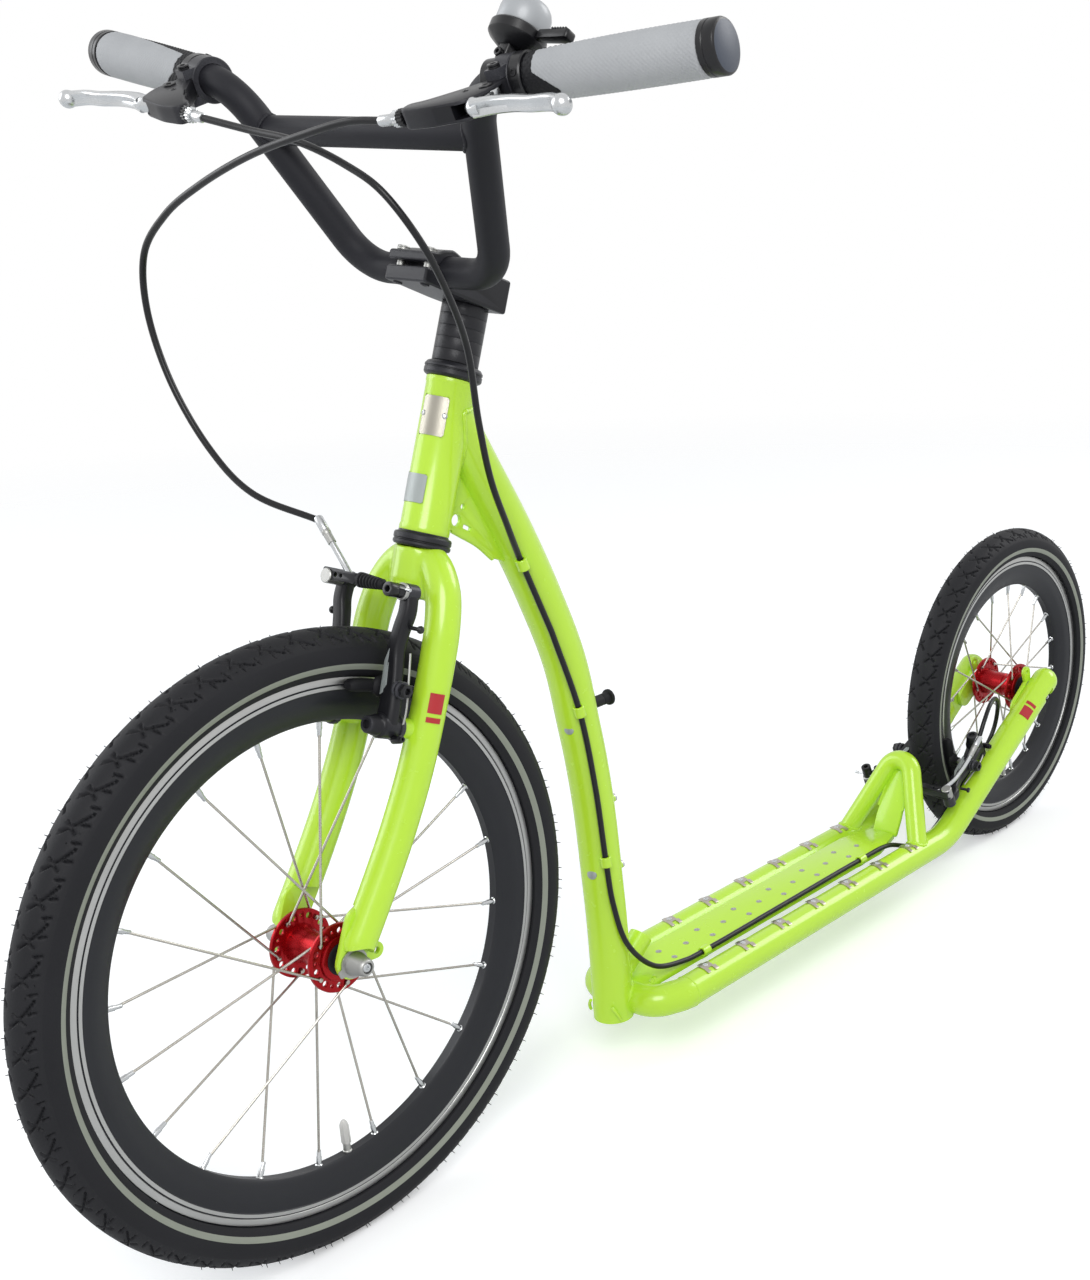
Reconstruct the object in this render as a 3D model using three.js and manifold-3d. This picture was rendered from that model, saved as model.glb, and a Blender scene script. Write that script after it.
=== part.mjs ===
// Kick bike: a foot-pushed scooter with two spoked wheels, a low deck between round rails,
// a raked fork with rim brakes and a high handlebar with a crossbar.
// Millimetres, +Z up, the front wheel towards -Y and the rider's left towards +X.
import * as THREE from 'three';
import { mergeVertices } from 'three/addons/utils/BufferGeometryUtils.js';
import Module from 'manifold-3d';

const wasm = await Module();
wasm.setup();
const { degToRad } = THREE.MathUtils;

// Driving dimensions
const wheelBase = 975;
const headAngle = degToRad(68.5);
const axleToHead = 319;
const forkRake = 26.9;
const headTubeLength = 114.4;
const barHalfWidth = 305.7;
const fit = 0.3;
const overrun = 5;
const weld = 0.0002;

// Wheels
const frontRimRadius = 209;
const frontTyreSeat = 14.2;
const frontTyreSection = 19.8;
const rearRimRadius = 150;
const rearTyreSeat = 11;
const rearTyreSection = 19;
const wheelSegments = 28;
const tyreSteps = 6;
const hubSides = 12;
const spokeSides = 3;
const steererSides = 16;
const rimDepth = 34;
const rimHalfWidth = 12;
const rimShoulderHalfWidth = 10;
const rimInnerHalfWidth = 5;
const brakeTrack = 9.5;
const rimShoulder = 22;
const spokeRadius = 1.1;
const spokeCount = 20;
const spokeCircle = 22;
const spokeLead = degToRad(54);
const hubFlangeOffset = 21.5;
const hubFlangeRadius = 27;
const hubFlangeThickness = 4;
const hubBarrelRadius = 14;
const hubWaistRadius = 12;
const hubWaistHalf = 9;
const hubEnd = 31;
const hubSealRadius = 13;
const axleRadius = 5;
const nutLength = 16;
const nutRadius = 9;
const nutTipRadius = 6;
const nutClearance = 2;
const valveRadius = 3;
const valveLength = 28;
const rearValveTurn = degToRad(3.4);
const dropoutInner = 33;
const dropoutThickness = 5;
const dropoutRadius = 13;
const eyeletTabRadius = 6.5;
const eyeletBore = 2.6;

// Fork and headset
const headTubeRadius = 18;
const headTubeBore = 15.3;
const steererRadius = 14.3;
const cupRadius = 21.2;
const cupHeight = 11.3;
const cupChamfer = 2.5;
const crownRadius = 18.6;
const crownHeight = 18;
const webThickness = 20;
const webDepth = 21;
const webHalfWidth = 28;
const forkSpread = 38.4;
const legRadius = 13.2;
const legSteps = 11;
const legSides = 12;
const forkTongueLength = 30;
const forkTabBack = 21;
const forkTabRise = 9;

// Headset spacers and stem
const spacerRadius = 17;
const spacerHeight = 8.6;
const spacerCount = 5;
const spacerGroove = 0.6;
const stemHalfWidth = 20.8;
const stemHeight = 25;
const stemRear = 20.5;
const stemBlock = 17.5;
const stemFrontRise = 1.5;
const stemRoof = 4;
const barForward = 38;
const stemFront = 22.5;
const clampGap = 4;
const clampThickness = 8.5;
const clampHump = 16.2;
const stemBoltRadius = 3.2;
const stemBoltHeadRadius = 4.6;
const stemBoltAcross = 14;
const stemBoltAlong = 15.6;
const stemBoltHead = 2.2;
const stemHoleDepth = 5;
const stemHoleRadius = 3.4;

// Handlebar, grips, levers and bell
const barRadius = 11.1;
const barLowerHalf = 67;
const barUpperHalf = 122;
const barReach = 98.8;
const barRise = 95.4;
const barSweep = 19.6;
const gripRise = 31.7;
const barLowerBend = 36;
const barUpperBend = 42;
const bendSteps = 4;
const crossbarRadius = 10.2;
const crossbarShare = 0.76;
const gripLength = 128;
const gripInnerRadius = 15;
const gripOuterRadius = 16.4;
const lockRingRadius = 16;
const lockRingWidth = 9;
const endRingWidth = 13;
const endRingRadius = 16.6;
const leverTilt = degToRad(39.5);
const leverClampWidth = 12;
const leverClampWall = 4.5;
const leverReach = 51;
const leverPivotReach = 30;
const bracketHeight = 13;
const bracketSlotInset = 11;
const bladeLength = 80;
const bladeReach = 21;
const bladeHeight = 11;
const bladeRootHeight = 8;
const bladeTip = 6.5;
const pivotRadius = 3.2;
const barrelRadius = 5.6;
const barrelLength = 10;
const barrelBore = 2.9;
const barrelReach = 48;
const barrelInset = 52;
const bellLean = degToRad(13.5);
const bellRadius = 16.7;
const bellHeight = 20;
const bellNeckRadius = 8;
const bellFoot = 22;
const bellBaseHeight = 14;
const bellBaseRadius = 18.5;
const bellClampWidth = 10;
const bellClampWall = 3;
const bellThumbLength = 28;
const bellThumbWidth = 9;
const bellThumbHeight = 7;

// Rim brakes, in a frame at the axle with the arms along +Z and their standoff along -Y
const pivotDrop = 33;
const pivotSpread = 34;
const pivotBoss = 7;
const armOffset = 7;
const armBarrel = 22;
const armBarrelRadius = 9;
const armBolt = 7;
const armBoltRadius = 6.5;
const frontArmLength = 98;
const rearArmLength = 89;
const armWidth = 13;
const armFoot = 19;
const armBow = 5;
const armDepth = 11;
const anchorRadius = 5.5;
const anchorLength = 16;
const frontWireOut = 14;
const rearWireOut = 11;
const cableLead = 8;
const wireRise = 2;
const padHalfLength = 35;
const padHeight = 9;
const padThickness = 9;
const padGap = 1.6;
const padPost = 4;
const padSteps = 4;
const padNut = 9;
const rearBrakeSplay = degToRad(12);
const rearBrakeDip = degToRad(22);
const rearBossDepth = 21;
const noodleRadius = 2.6;
const ferruleRadius = 3.6;
const linkLength = 30;
const linkHeight = 9;
const linkDepth = 10;
const linkPin = 4;
const bootRadius = 5.6;
const bootTip = 4.2;
const bootLength = 26;
const bootBore = 1.8;
const bootRibs = 6;
const bootRib = 0.9;
const innerWire = 0.8;
const wireRoom = 2.5;
const wireTail = 9;

// Frame
const downTubeRadius = 18;
const downTubeTop = 92;
const downTubeReach = 127.4;
const downTubeFoot = 50;
const downTubeSteps = 12;
const downTubeSides = 14;
const railSpacing = 46;
const railEndSpacing = 49;
const railHeight = 65;
const railRadius = 15;
const railSides = 14;
const crossTubeY = 320;
const cornerRun = 27;
const cornerInset = 12;
const cornerBend = 20;
const cornerSteps = 1;
const railStart = 353;
const kinkY = 785;
const kinkBend = 80;
const railOvershoot = 16;
const pocketLength = 18;
const dropoutRoomLength = 48;
const rearTongueLength = 28;
const rearTabBack = -5.4;
const rearTabRise = 21.6;
const clipCount = 7;
const clipStart = 380.9;
const clipPitch = 55.3;
const clipHalfLength = 8;
const clipTongue = 4.4;
const clipInner = 7;
const clipOuter = 8;
const clipThickness = 0.9;
const deckTop = 80;
const deckThickness = 6;
const deckHalfWidth = 27;
const deckTail = 15;
const deckTaperY = 690;
const deckEnd = 733;
const flapThickness = 5;
const flapLength = 82;
const archRadius = 10.5;
const archFootY = 731;
const archFootZ = 72;
const archPeakY = 782;
const archPeakZ = 176;
const archBend = 17;
const archSides = 12;
const archSteps = 6;
const gussetThickness = 4;
const gussetReach = 80;
const gussetHole = 4.5;
const gussetSmallHole = 2.2;
const stubRadius = 11;
const stubWall = 2;
const stubLength = 36;
const stubTilt = degToRad(38);
const stubHeight = 94;
const pegRadius = 5;
const pegReach = 42;
const pegFlange = 7;
const pegFlangeWidth = 3;
const pegHeight = 349;
const bossRadius = 4;
const bossReach = 24;
const bossHeights = [257, 192];
const cableRadius = 2.5;
const cableSides = 6;
const cableGap = 0.6;
const guideRoom = 0.9;
const guideWall = 1.3;
const guideLength = 9;

// Places on a fork leg: shares of its spread, the rake and the drop from head to axle.
const legShares = [
  [0.52, 0, 0.05],
  [0.65, 0, 0.08],
  [0.86, 0, 0.144],
  [0.977, 0.01, 0.213],
  [1, 0, 0.28],
  [1, 0.01, 0.44],
  [1, 0.08, 0.55],
  [1, 0.26, 0.67],
  [1, 0.5, 0.78],
  [1, 0.76, 0.88],
  [1, 0.97, 0.955],
];
// Places on the down tube: shares of its reach and its drop.
const downTubeShares = [
  [0, 0],
  [0.14, 0.062],
  [0.41, 0.18],
  [0.61, 0.281],
  [0.785, 0.389],
  [0.87, 0.491],
  [0.917, 0.556],
  [0.958, 0.64],
  [0.982, 0.741],
  [1, 0.84],
  [1, 1],
];
// The gusset's outline and holes: shares of its reach, from the head tube's lower end.
const gussetShares = [
  [0.1, -0.01],
  [0.33, -0.04],
  [0.426, -0.104],
  [0.637, -0.247],
  [0.8175, -0.419],
  [1, -0.5],
  [0.79, 0.375],
  [0.29, 0.56],
];
const gussetHoleShare = [0.39, 0.045];
const gussetSmallShare = [0.49, 0.154];
const gussetSlotShares = [[0.47, -0.026], [0.56, -0.081]];
// The brake bracket and the root of the blade: shares of the lever's reach from the bar.
const bracketShares = [
  [0.11, -0.23],
  [-0.1, -0.23],
  [-0.115, -0.31],
  [-0.42, -0.55],
  [-0.78, -0.78],
  [-1.02, -0.83],
  [-1.02, -1.06],
  [-0.6, -1.12],
  [-0.06, -1.08],
  [0.1, -0.82],
  [0.13, -0.5],
];
const bladeRootShares = [
  [-0.12, -0.48],
  [0.09, -0.46],
  [0.12, -0.8],
  [0.32, -0.96],
  [0.3, -1.16],
  [-0.06, -1.1],
];
// The finger part of the blade: shares of its length and reach, and its half depth.
const fingerShares = [
  [0.03, 0.02, 0.3],
  [0.2, -0.04, 0.32],
  [0.42, 0.1, 0.28],
  [0.64, 0.42, 0.24],
  [0.84, 0.6, 0.22],
  [1, 1, 0.2],
];
// The outline of the bell's dome: shares of its radius and height.
const domeShares = [[0, 0], [1, 0], [1, 0.55], [0.86, 0.88], [0.5, 1], [0, 1]];
// The bow of a brake arm above its pad, and where a ferrule starts on its noodle.
const armBowShare = 0.7;
const ferruleShare = 0.4;
// The noodle of each brake past its link: inwards, out and up.
const frontNoodle = [[14, 0, 6], [0, -4, 21], [-9, -6, 30]];
const rearNoodle = [[10, -1, -2], [3, -2, -16], [2.5, -2, -35], [2.5, -4, -51], [2.5, -10, -71]];

// Cable routes, hand-chosen between the fittings that they join.
const frontCableRoute = [
  [64, 62, 820],
  [20, 58, 811],
  [-34, 58, 798],
  [-96, 60, 777],
  [-142, 62, 756],
  [-180, 66, 727],
  [-193, 70, 687],
  [-181, 72, 636],
  [-148, 74, 588],
  [-107, 75, 560],
];
const rearLoopRoute = [
  [-46, 70, 813],
  [3, 71, 806],
  [40, 75, 793],
  [68, 78, 778],
  [84, 92, 747],
  [75, 122, 705],
  [62, 145, 668],
  [50, 160, 616],
  [42, 174, 570],
  [29, 199, 527],
];
const downTubeGuides = [[17.2, 222, 491], [17.5, 271.5, 355], [19, 288, 213]];
const deckGuides = [[28.6, 400, 83], [28.6, 652, 83]];
const rearCableRoute = [
  downTubeGuides[0],
  [17.6, 247, 430],
  downTubeGuides[1],
  [18.6, 282, 285],
  downTubeGuides[2],
  [20, 292, 171],
  [22.6, 304, 127],
  [26, 334, 94],
  [28.6, 372, 84.5],
  deckGuides[0],
  [28.6, 526, 83],
  deckGuides[1],
  [28.6, 700, 81],
  [27.4, 747, 64.5],
  [25.8, 790, 66],
  [25.8, 850, 100],
  [25.6, 890, 122],
  [26, 916, 146],
  [30, 918, 172],
  [38, 900, 190],
  [46, 876, 192],
  [50, 858, 180],
];

// Materials
const standard = (color, roughness, metalness) => (
  new THREE.MeshStandardMaterial({ color, roughness, metalness })
);
const paint = standard(0xc4ee3c, 0.25, 0);
const blackAlloy = standard(0x1c1c20, 0.45, 0.4);
const blackBar = standard(0x24242a, 0.6, 0.3);
const silver = standard(0xc4c6c8, 0.3, 1);
const axleSteel = standard(0xa8a49c, 0.35, 1);
const redAnodised = standard(0xb0121c, 0.3, 0.8);
const tyreRubber = standard(0x232124, 0.85, 0);
const rimBlack = standard(0x222226, 0.5, 0.3);
const gripGrey = standard(0xa9abad, 0.8, 0);
const blackRubber = standard(0x151517, 0.8, 0);
const bellShell = standard(0xd8dadc, 0.35, 0.2);
const capGrey = standard(0x4a4e58, 0.5, 0.1);
const cableBlack = standard(0x121214, 0.4, 0);

// Geometry helpers
const v3 = (x, y, z) => new THREE.Vector3(x, y, z);
const up = v3(0, 0, 1);
const out = v3(1, 0, 0);

function signedVolume(position, corners) {
  const [a, b, c] = [v3(), v3(), v3()];
  let sum = 0;
  for (const [i, j, k] of corners) {
    a.fromBufferAttribute(position, i);
    b.fromBufferAttribute(position, j);
    c.fromBufferAttribute(position, k);
    sum += a.dot(b.cross(c));
  }
  return sum;
}

// A closed geometry with shared vertices, its faces pointing out.
function closed(geometry) {
  const plain = geometry.clone();
  plain.deleteAttribute('normal');
  plain.deleteAttribute('uv');
  const merged = mergeVertices(plain, weld);
  const corners = [];
  for (let i = 0; i < merged.index.count; i += 3) {
    const corner = [0, 1, 2].map((k) => merged.index.getX(i + k));
    if (new Set(corner).size === 3) corners.push(corner);
  }
  const inward = signedVolume(merged.attributes.position, corners) < 0;
  merged.setIndex(corners.flatMap(([a, b, c]) => (inward ? [a, c, b] : [a, b, c])));
  return merged;
}

function solidOf(geometry) {
  const shape = closed(geometry);
  return new wasm.Manifold(new wasm.Mesh({
    numProp: 3,
    vertProperties: new Float32Array(shape.attributes.position.array),
    triVerts: new Uint32Array(shape.index.array),
  }));
}

function geometryOf(solid) {
  const mesh = solid.getMesh();
  const geometry = new THREE.BufferGeometry();
  const corners = new Float32Array(mesh.vertProperties);
  geometry.setAttribute('position', new THREE.BufferAttribute(corners, 3));
  geometry.setIndex(new THREE.BufferAttribute(new Uint32Array(mesh.triVerts), 1));
  return geometry;
}

const join = (...geometries) => geometryOf(
  geometries.map(solidOf).reduce((whole, next) => whole.add(next)),
);
const cut = (geometry, ...tools) => geometryOf(
  tools.map(solidOf).reduce((whole, next) => whole.subtract(next), solidOf(geometry)),
);
const overlap = (a, b) => geometryOf(solidOf(a).intersect(solidOf(b)));

// The largest of the bodies that a cut leaves.
function largest(geometry) {
  const bodies = solidOf(geometry).decompose();
  const sizes = bodies.map((body) => body.volume());
  return geometryOf(bodies[sizes.indexOf(Math.max(...sizes))]);
}

// A path whose steps are the stretches between its points.
class Route extends THREE.Curve {
  constructor(points) {
    super();
    this.points = points;
  }

  getPoint(t, target = v3()) {
    const place = t * (this.points.length - 1);
    const index = Math.min(Math.floor(place), this.points.length - 2);
    return target.lerpVectors(this.points[index], this.points[index + 1], place - index);
  }

  getPointAt(t, target) {
    return this.getPoint(t, target);
  }

  getTangentAt(t, target = v3()) {
    const last = this.points.length - 1;
    const index = Math.round(t * last);
    const here = this.points[index];
    const leaving = this.points[Math.min(index + 1, last)].clone().sub(here).normalize();
    const arriving = here.clone().sub(this.points[Math.max(index - 1, 0)]).normalize();
    return target.copy(leaving).add(arriving).normalize();
  }
}

function roundShape(radius, sides) {
  const points = [];
  for (let i = 0; i < sides; i += 1) {
    const angle = (i / sides) * Math.PI * 2;
    points.push(new THREE.Vector2(radius * Math.cos(angle), radius * Math.sin(angle)));
  }
  return new THREE.Shape(points);
}

// A round bar of one radius along points.
function tube(points, radius, sides) {
  return new THREE.ExtrudeGeometry(roundShape(radius, sides), {
    extrudePath: new Route(points),
    steps: points.length - 1,
  });
}

// The corners of a polyline rounded off, with a few points on each bend.
function rounded(corners, radius, steps) {
  const points = [corners[0]];
  for (let i = 1; i < corners.length - 1; i += 1) {
    const here = corners[i];
    const back = corners[i - 1].clone().sub(here).normalize();
    const on = corners[i + 1].clone().sub(here).normalize();
    const half = back.angleTo(on) / 2;
    const reach = radius / Math.tan(half);
    const middle = back.clone().add(on).normalize();
    const centre = here.clone().addScaledVector(middle, radius / Math.sin(half));
    const from = here.clone().addScaledVector(back, reach).sub(centre);
    const to = here.clone().addScaledVector(on, reach).sub(centre);
    const turn = from.angleTo(to);
    const axis = from.clone().cross(to).normalize();
    for (let k = 0; k <= steps; k += 1) {
      points.push(from.clone().applyAxisAngle(axis, (turn * k) / steps).add(centre));
    }
  }
  points.push(corners.at(-1));
  return points;
}

const smooth = (points, steps) => (
  new THREE.CatmullRomCurve3(points, false, 'centripetal').getSpacedPoints(steps)
);
const mirror = (points) => points.map((p) => v3(-p.x, p.y, p.z));
const places = (list) => list.map((place) => v3(...place));

// A cylinder or cone between two points.
function rod(from, to, radius, sides, endRadius = radius) {
  const along = to.clone().sub(from);
  const geometry = new THREE.CylinderGeometry(endRadius, radius, along.length(), sides);
  geometry.rotateX(Math.PI / 2);
  const turn = new THREE.Quaternion().setFromUnitVectors(up, along.clone().normalize());
  geometry.applyQuaternion(turn);
  return geometry.translate(...from.clone().add(to).divideScalar(2));
}

// A box between two opposite corners in either order.
function box(a, b) {
  const size = v3(Math.abs(b.x - a.x), Math.abs(b.y - a.y), Math.abs(b.z - a.z));
  return new THREE.BoxGeometry(...size).translate(...a.clone().add(b).divideScalar(2));
}

// A body turned about the Z axis from [radius, height] places.
function turned(outline, sides) {
  const profile = outline.map(([radius, height]) => new THREE.Vector2(radius, height));
  const onAxis = outline[0][0] === 0 && outline.at(-1)[0] === 0;
  if (!onAxis) profile.push(profile[0].clone());
  return new THREE.LatheGeometry(profile, sides).rotateX(Math.PI / 2);
}

const ring = (outer, inner, from, to, sides) => turned(
  [[inner, from], [outer, from], [outer, to], [inner, to]],
  sides,
);

// The radius of a faceted bore whose flats stay clear of a pin.
const boreFor = (radius, sides) => (radius + fit) / Math.cos(Math.PI / sides);
const steererBore = boreFor(steererRadius, steererSides);
const barBore = boreFor(barRadius, 14);

const shapeOf = (outline) => new THREE.Shape(outline.map(([a, b]) => new THREE.Vector2(a, b)));

// A plate from an outline of [x, y] places, between two heights.
function flatPlate(outline, low, high) {
  const depth = high - low;
  return new THREE.ExtrudeGeometry(shapeOf(outline), { depth, bevelEnabled: false })
    .translate(0, 0, low);
}

// A plate from an outline of [y, z] places, between two places along X.
function sidePlate(outline, low, high) {
  return flatPlate(outline, low, high)
    .applyMatrix4(new THREE.Matrix4().makeBasis(v3(0, 1, 0), v3(0, 0, 1), v3(1, 0, 0)));
}

// A plate from an outline of [x, z] places, between two places along Y.
function frontPlate(outline, low, high) {
  return flatPlate(outline, -high, -low)
    .applyMatrix4(new THREE.Matrix4().makeBasis(v3(1, 0, 0), v3(0, 0, 1), v3(0, -1, 0)));
}

const alongX = (geometry) => geometry.rotateY(Math.PI / 2);
const mirrored = (geometry, side) => closed(geometry.clone().scale(side, 1, 1));
const sideName = (side) => (side > 0 ? 'left' : 'right');
const scaled = (shares, size) => shares.map(([a, b]) => [a * size, b * size]);

// Where a cable leaves a fitting, and the place that it runs straight to.
function cableStart(place, way) {
  const from = place.clone().add(way.clone().setLength(cableGap));
  return [from, from.clone().add(way.clone().setLength(cableLead))];
}

function add(parent, name, geometry, material) {
  const mesh = new THREE.Mesh(closed(geometry), material);
  mesh.name = name;
  parent.add(mesh);
  return mesh;
}

// Places that follow from the driving dimensions
const lean = Math.PI / 2 - headAngle;
const frontTyreRadius = frontRimRadius + frontTyreSeat + frontTyreSection;
const rearTyreRadius = rearRimRadius + rearTyreSeat + rearTyreSection;
const headY = axleToHead * Math.sin(lean) + forkRake * Math.cos(lean);
const headZ = frontTyreRadius + axleToHead * Math.cos(lean) - forkRake * Math.sin(lean);
const rearAxle = v3(0, wheelBase, rearTyreRadius);
const frontAxle = v3(0, -forkRake, -axleToHead);
const railSlope = Math.atan2(rearAxle.z - railHeight, rearAxle.y - kinkY);

const bike = new THREE.Group();
bike.position.y = -(wheelBase + rearTyreRadius - frontTyreRadius) / 2;

// The head of the frame and the steering share one place and lean.
const headFrame = new THREE.Group();
const steering = new THREE.Group();
for (const group of [headFrame, steering]) {
  group.position.set(0, headY, headZ);
  group.rotation.x = -lean;
  group.updateMatrix();
  bike.add(group);
}
const fromHead = (point) => point.clone().applyMatrix4(headFrame.matrix);

function buildTyre(rimRadius, seat, section) {
  const outline = [];
  const dip = Math.asin((seat - fit) / section);
  for (let i = 0; i <= tyreSteps; i += 1) {
    const angle = -dip + (i / tyreSteps) * (Math.PI + 2 * dip);
    outline.push([rimRadius + seat + section * Math.sin(angle), section * Math.cos(angle)]);
  }
  return turned(outline, wheelSegments);
}

function buildRim(rimRadius, valveTurn) {
  const inner = rimRadius - rimDepth;
  const half = [
    [rimRadius, rimHalfWidth],
    [rimRadius - brakeTrack, rimHalfWidth],
    [rimRadius - rimShoulder, rimShoulderHalfWidth],
    [inner, rimInnerHalfWidth],
  ];
  const other = half.map(([radius, width]) => [radius, -width]).reverse();
  const valve = rod(v3(inner + overrun, 0, 0), v3(inner - valveLength, 0, 0), valveRadius, 8);
  return join(turned([...half, ...other], wheelSegments), valve.rotateZ(valveTurn));
}

function buildHub(rimRadius, valveTurn) {
  const flangeOuter = hubFlangeOffset + hubFlangeThickness / 2;
  const flangeInner = hubFlangeOffset - hubFlangeThickness / 2;
  const half = [
    [hubWaistRadius, hubWaistHalf],
    [hubBarrelRadius, hubWaistHalf + hubFlangeThickness],
    [hubFlangeRadius, flangeInner],
    [hubFlangeRadius, flangeOuter],
    [hubSealRadius, flangeOuter],
    [hubSealRadius, hubEnd],
    [axleRadius + fit, hubEnd],
  ];
  const other = half.map(([radius, width]) => [radius, -width]).reverse();
  const reach = (rimRadius - rimDepth) * Math.cos(Math.PI / wheelSegments) - 2 * fit;
  const step = (Math.PI * 2) / spokeCount;
  const spokes = [];
  for (let i = 0; i < spokeCount; i += 1) {
    const flange = i % 2 ? hubFlangeOffset : -hubFlangeOffset;
    const angle = valveTurn + (i + 0.5) * step;
    const foot = angle + (i % 4 < 2 ? spokeLead : -spokeLead);
    spokes.push(rod(
      v3(Math.cos(foot) * spokeCircle, Math.sin(foot) * spokeCircle, flange),
      v3(Math.cos(angle) * reach, Math.sin(angle) * reach, 0),
      spokeRadius,
      spokeSides,
    ));
  }
  return join(turned([...half, ...other], hubSides), ...spokes);
}

function buildAxle() {
  const nutStart = dropoutInner + dropoutThickness + fit;
  const nuts = [1, -1].map((side) => rod(
    v3(side * nutStart, 0, 0),
    v3(side * (nutStart + nutLength), 0, 0),
    nutRadius,
    12,
    nutTipRadius,
  ));
  const coreHalf = nutStart + nutLength / 2;
  const core = rod(v3(-coreHalf, 0, 0), v3(coreHalf, 0, 0), axleRadius, 12);
  return join(core, ...nuts);
}

function buildWheel(parent, prefix, centre, turn, [rimRadius, seat, section], valveTurn) {
  const wheel = new THREE.Group();
  wheel.position.copy(centre);
  wheel.rotation.set(turn, Math.PI / 2, 0);
  parent.add(wheel);
  add(wheel, `${prefix}_tyre`, buildTyre(rimRadius, seat, section), tyreRubber);
  add(wheel, `${prefix}_rim`, buildRim(rimRadius, valveTurn), rimBlack);
  add(wheel, `${prefix}_hub`, buildHub(rimRadius, valveTurn), redAnodised);
  add(parent, `${prefix}_axle`, buildAxle(), axleSteel).position.copy(centre);
}

// A strip with one round end, from the origin to a place in the YZ plane.
function tongue(end, radius, low, high) {
  const wide = v3(0, -end.z, end.y).setLength(radius);
  const strip = sidePlate([
    [wide.y, wide.z],
    [end.y + wide.y, end.z + wide.z],
    [end.y - wide.y, end.z - wide.z],
    [-wide.y, -wide.z],
  ], low, high);
  return join(strip, rod(v3(low, end.y, end.z), v3(high, end.y, end.z), radius, 10));
}

// The dropout plate about its axle, with a tongue to weld on and a tab with an eyelet.
function dropoutPlate(side, end, tab) {
  const edges = [side * dropoutInner, side * (dropoutInner + dropoutThickness)];
  const low = Math.min(...edges);
  const high = Math.max(...edges);
  const across = (y, z, radius, more) => (
    rod(v3(low - more, y, z), v3(high + more, y, z), radius, 12)
  );
  const plate = join(
    across(0, 0, dropoutRadius, 0),
    tongue(end, dropoutRadius, low, high),
    tongue(tab, eyeletTabRadius, low, high),
  );
  return cut(
    plate,
    across(0, 0, axleRadius + fit, overrun),
    across(tab.y, tab.z, eyeletBore, overrun),
  );
}

// Room round an axle nut, outwards from the dropout plate.
function nutRoom(side, length) {
  const from = side * (dropoutInner + dropoutThickness);
  return rod(v3(from, 0, 0), v3(from + side * length, 0, 0), nutRadius + nutClearance, 12);
}

function buildHeadset() {
  const cup = (low) => turned([
    [steererBore, low],
    [cupRadius - cupChamfer, low],
    [cupRadius, low + cupChamfer],
    [cupRadius, low + cupHeight - cupChamfer],
    [cupRadius - cupChamfer, low + cupHeight],
    [steererBore, low + cupHeight],
  ], steererSides);
  add(headFrame, 'headset_lower_cup', cup(-cupHeight - fit), blackAlloy);
  add(headFrame, 'headset_upper_cup', cup(headTubeLength + fit), blackAlloy);
}

const spacerStart = headTubeLength + cupHeight + 2 * fit;
const spacerEnd = spacerStart + spacerCount * spacerHeight;
const stemBottom = spacerEnd + fit;
const stemTop = stemBottom + stemHeight;
const barHeight = stemTop - clampThickness - clampGap / 2;
const crownTop = -cupHeight - 2 * fit;

function buildSpacers() {
  const outline = [[steererBore, spacerStart], [spacerRadius, spacerStart]];
  for (let i = 1; i < spacerCount; i += 1) {
    const seam = spacerStart + i * spacerHeight;
    outline.push([spacerRadius, seam - spacerGroove]);
    outline.push([spacerRadius - spacerGroove, seam]);
    outline.push([spacerRadius, seam + spacerGroove]);
  }
  outline.push([spacerRadius, spacerEnd], [steererBore, spacerEnd]);
  add(steering, 'headset_spacers', turned(outline, steererSides), blackAlloy);
}

// The crown's lug and web; a clearance grows them into the room that the legs leave.
function crownBlank(clearance) {
  const lugEnd = crownTop - crownHeight;
  const lug = rod(
    v3(0, 0, crownTop + clearance),
    v3(0, 0, lugEnd - clearance),
    crownRadius + clearance,
    steererSides,
  );
  const half = webHalfWidth + clearance;
  const web = box(
    v3(-half, -webThickness / 2 - clearance, lugEnd - webDepth - clearance),
    v3(half, webThickness / 2 + clearance, crownTop - crownHeight / 2),
  );
  return join(lug, web);
}

// The boss that carries a brake arm, from inside the tube to the arm's barrel.
function brakeBoss(side, start, rimRadius) {
  const height = rimRadius - pivotDrop;
  const end = -armOffset + armBarrel / 2 + fit;
  return rod(
    v3(side * pivotSpread, start, height),
    v3(side * pivotSpread, end, height),
    pivotBoss,
    12,
  );
}

function buildForkLeg(side) {
  const points = legShares.map(([spread, rake, drop]) => (
    v3(side * spread * forkSpread, -rake * forkRake, -drop * axleToHead)
  ));
  const leg = tube(smooth(points, legSteps), legRadius, legSides);
  const cap = new THREE.SphereGeometry(legRadius, legSides, 6).translate(...points.at(-1));
  const wheelRoom = box(
    v3(0, -3 * legRadius, -2 * legRadius),
    v3(side * dropoutInner, 3 * legRadius, forkTongueLength + legRadius),
  ).translate(...frontAxle);
  const room = nutRoom(side, 3 * legRadius).translate(...frontAxle);
  const tab = v3(0, forkTabBack, forkTabRise);
  const plate = dropoutPlate(side, v3(0, 0, forkTongueLength), tab).translate(...frontAxle);
  const boss = brakeBoss(side, forkRake - legRadius / 2, frontRimRadius).translate(...frontAxle);
  const bore = rod(v3(0, 0, 0), v3(side * 2 * dropoutInner, 0, 0), axleRadius + fit, 12)
    .translate(...frontAxle);
  const tubing = cut(join(leg, cap), wheelRoom, room);
  return cut(join(tubing, plate, boss), crownBlank(fit), bore);
}

function buildFork() {
  const steerer = rod(
    v3(0, 0, crownTop - overrun),
    v3(0, 0, stemTop - stemRoof - fit),
    steererRadius,
    steererSides,
  );
  add(steering, 'fork_crown', join(crownBlank(0), steerer), paint);
  for (const side of [1, -1]) {
    add(steering, `fork_leg_${sideName(side)}`, largest(buildForkLeg(side)), paint);
  }
}

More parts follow.
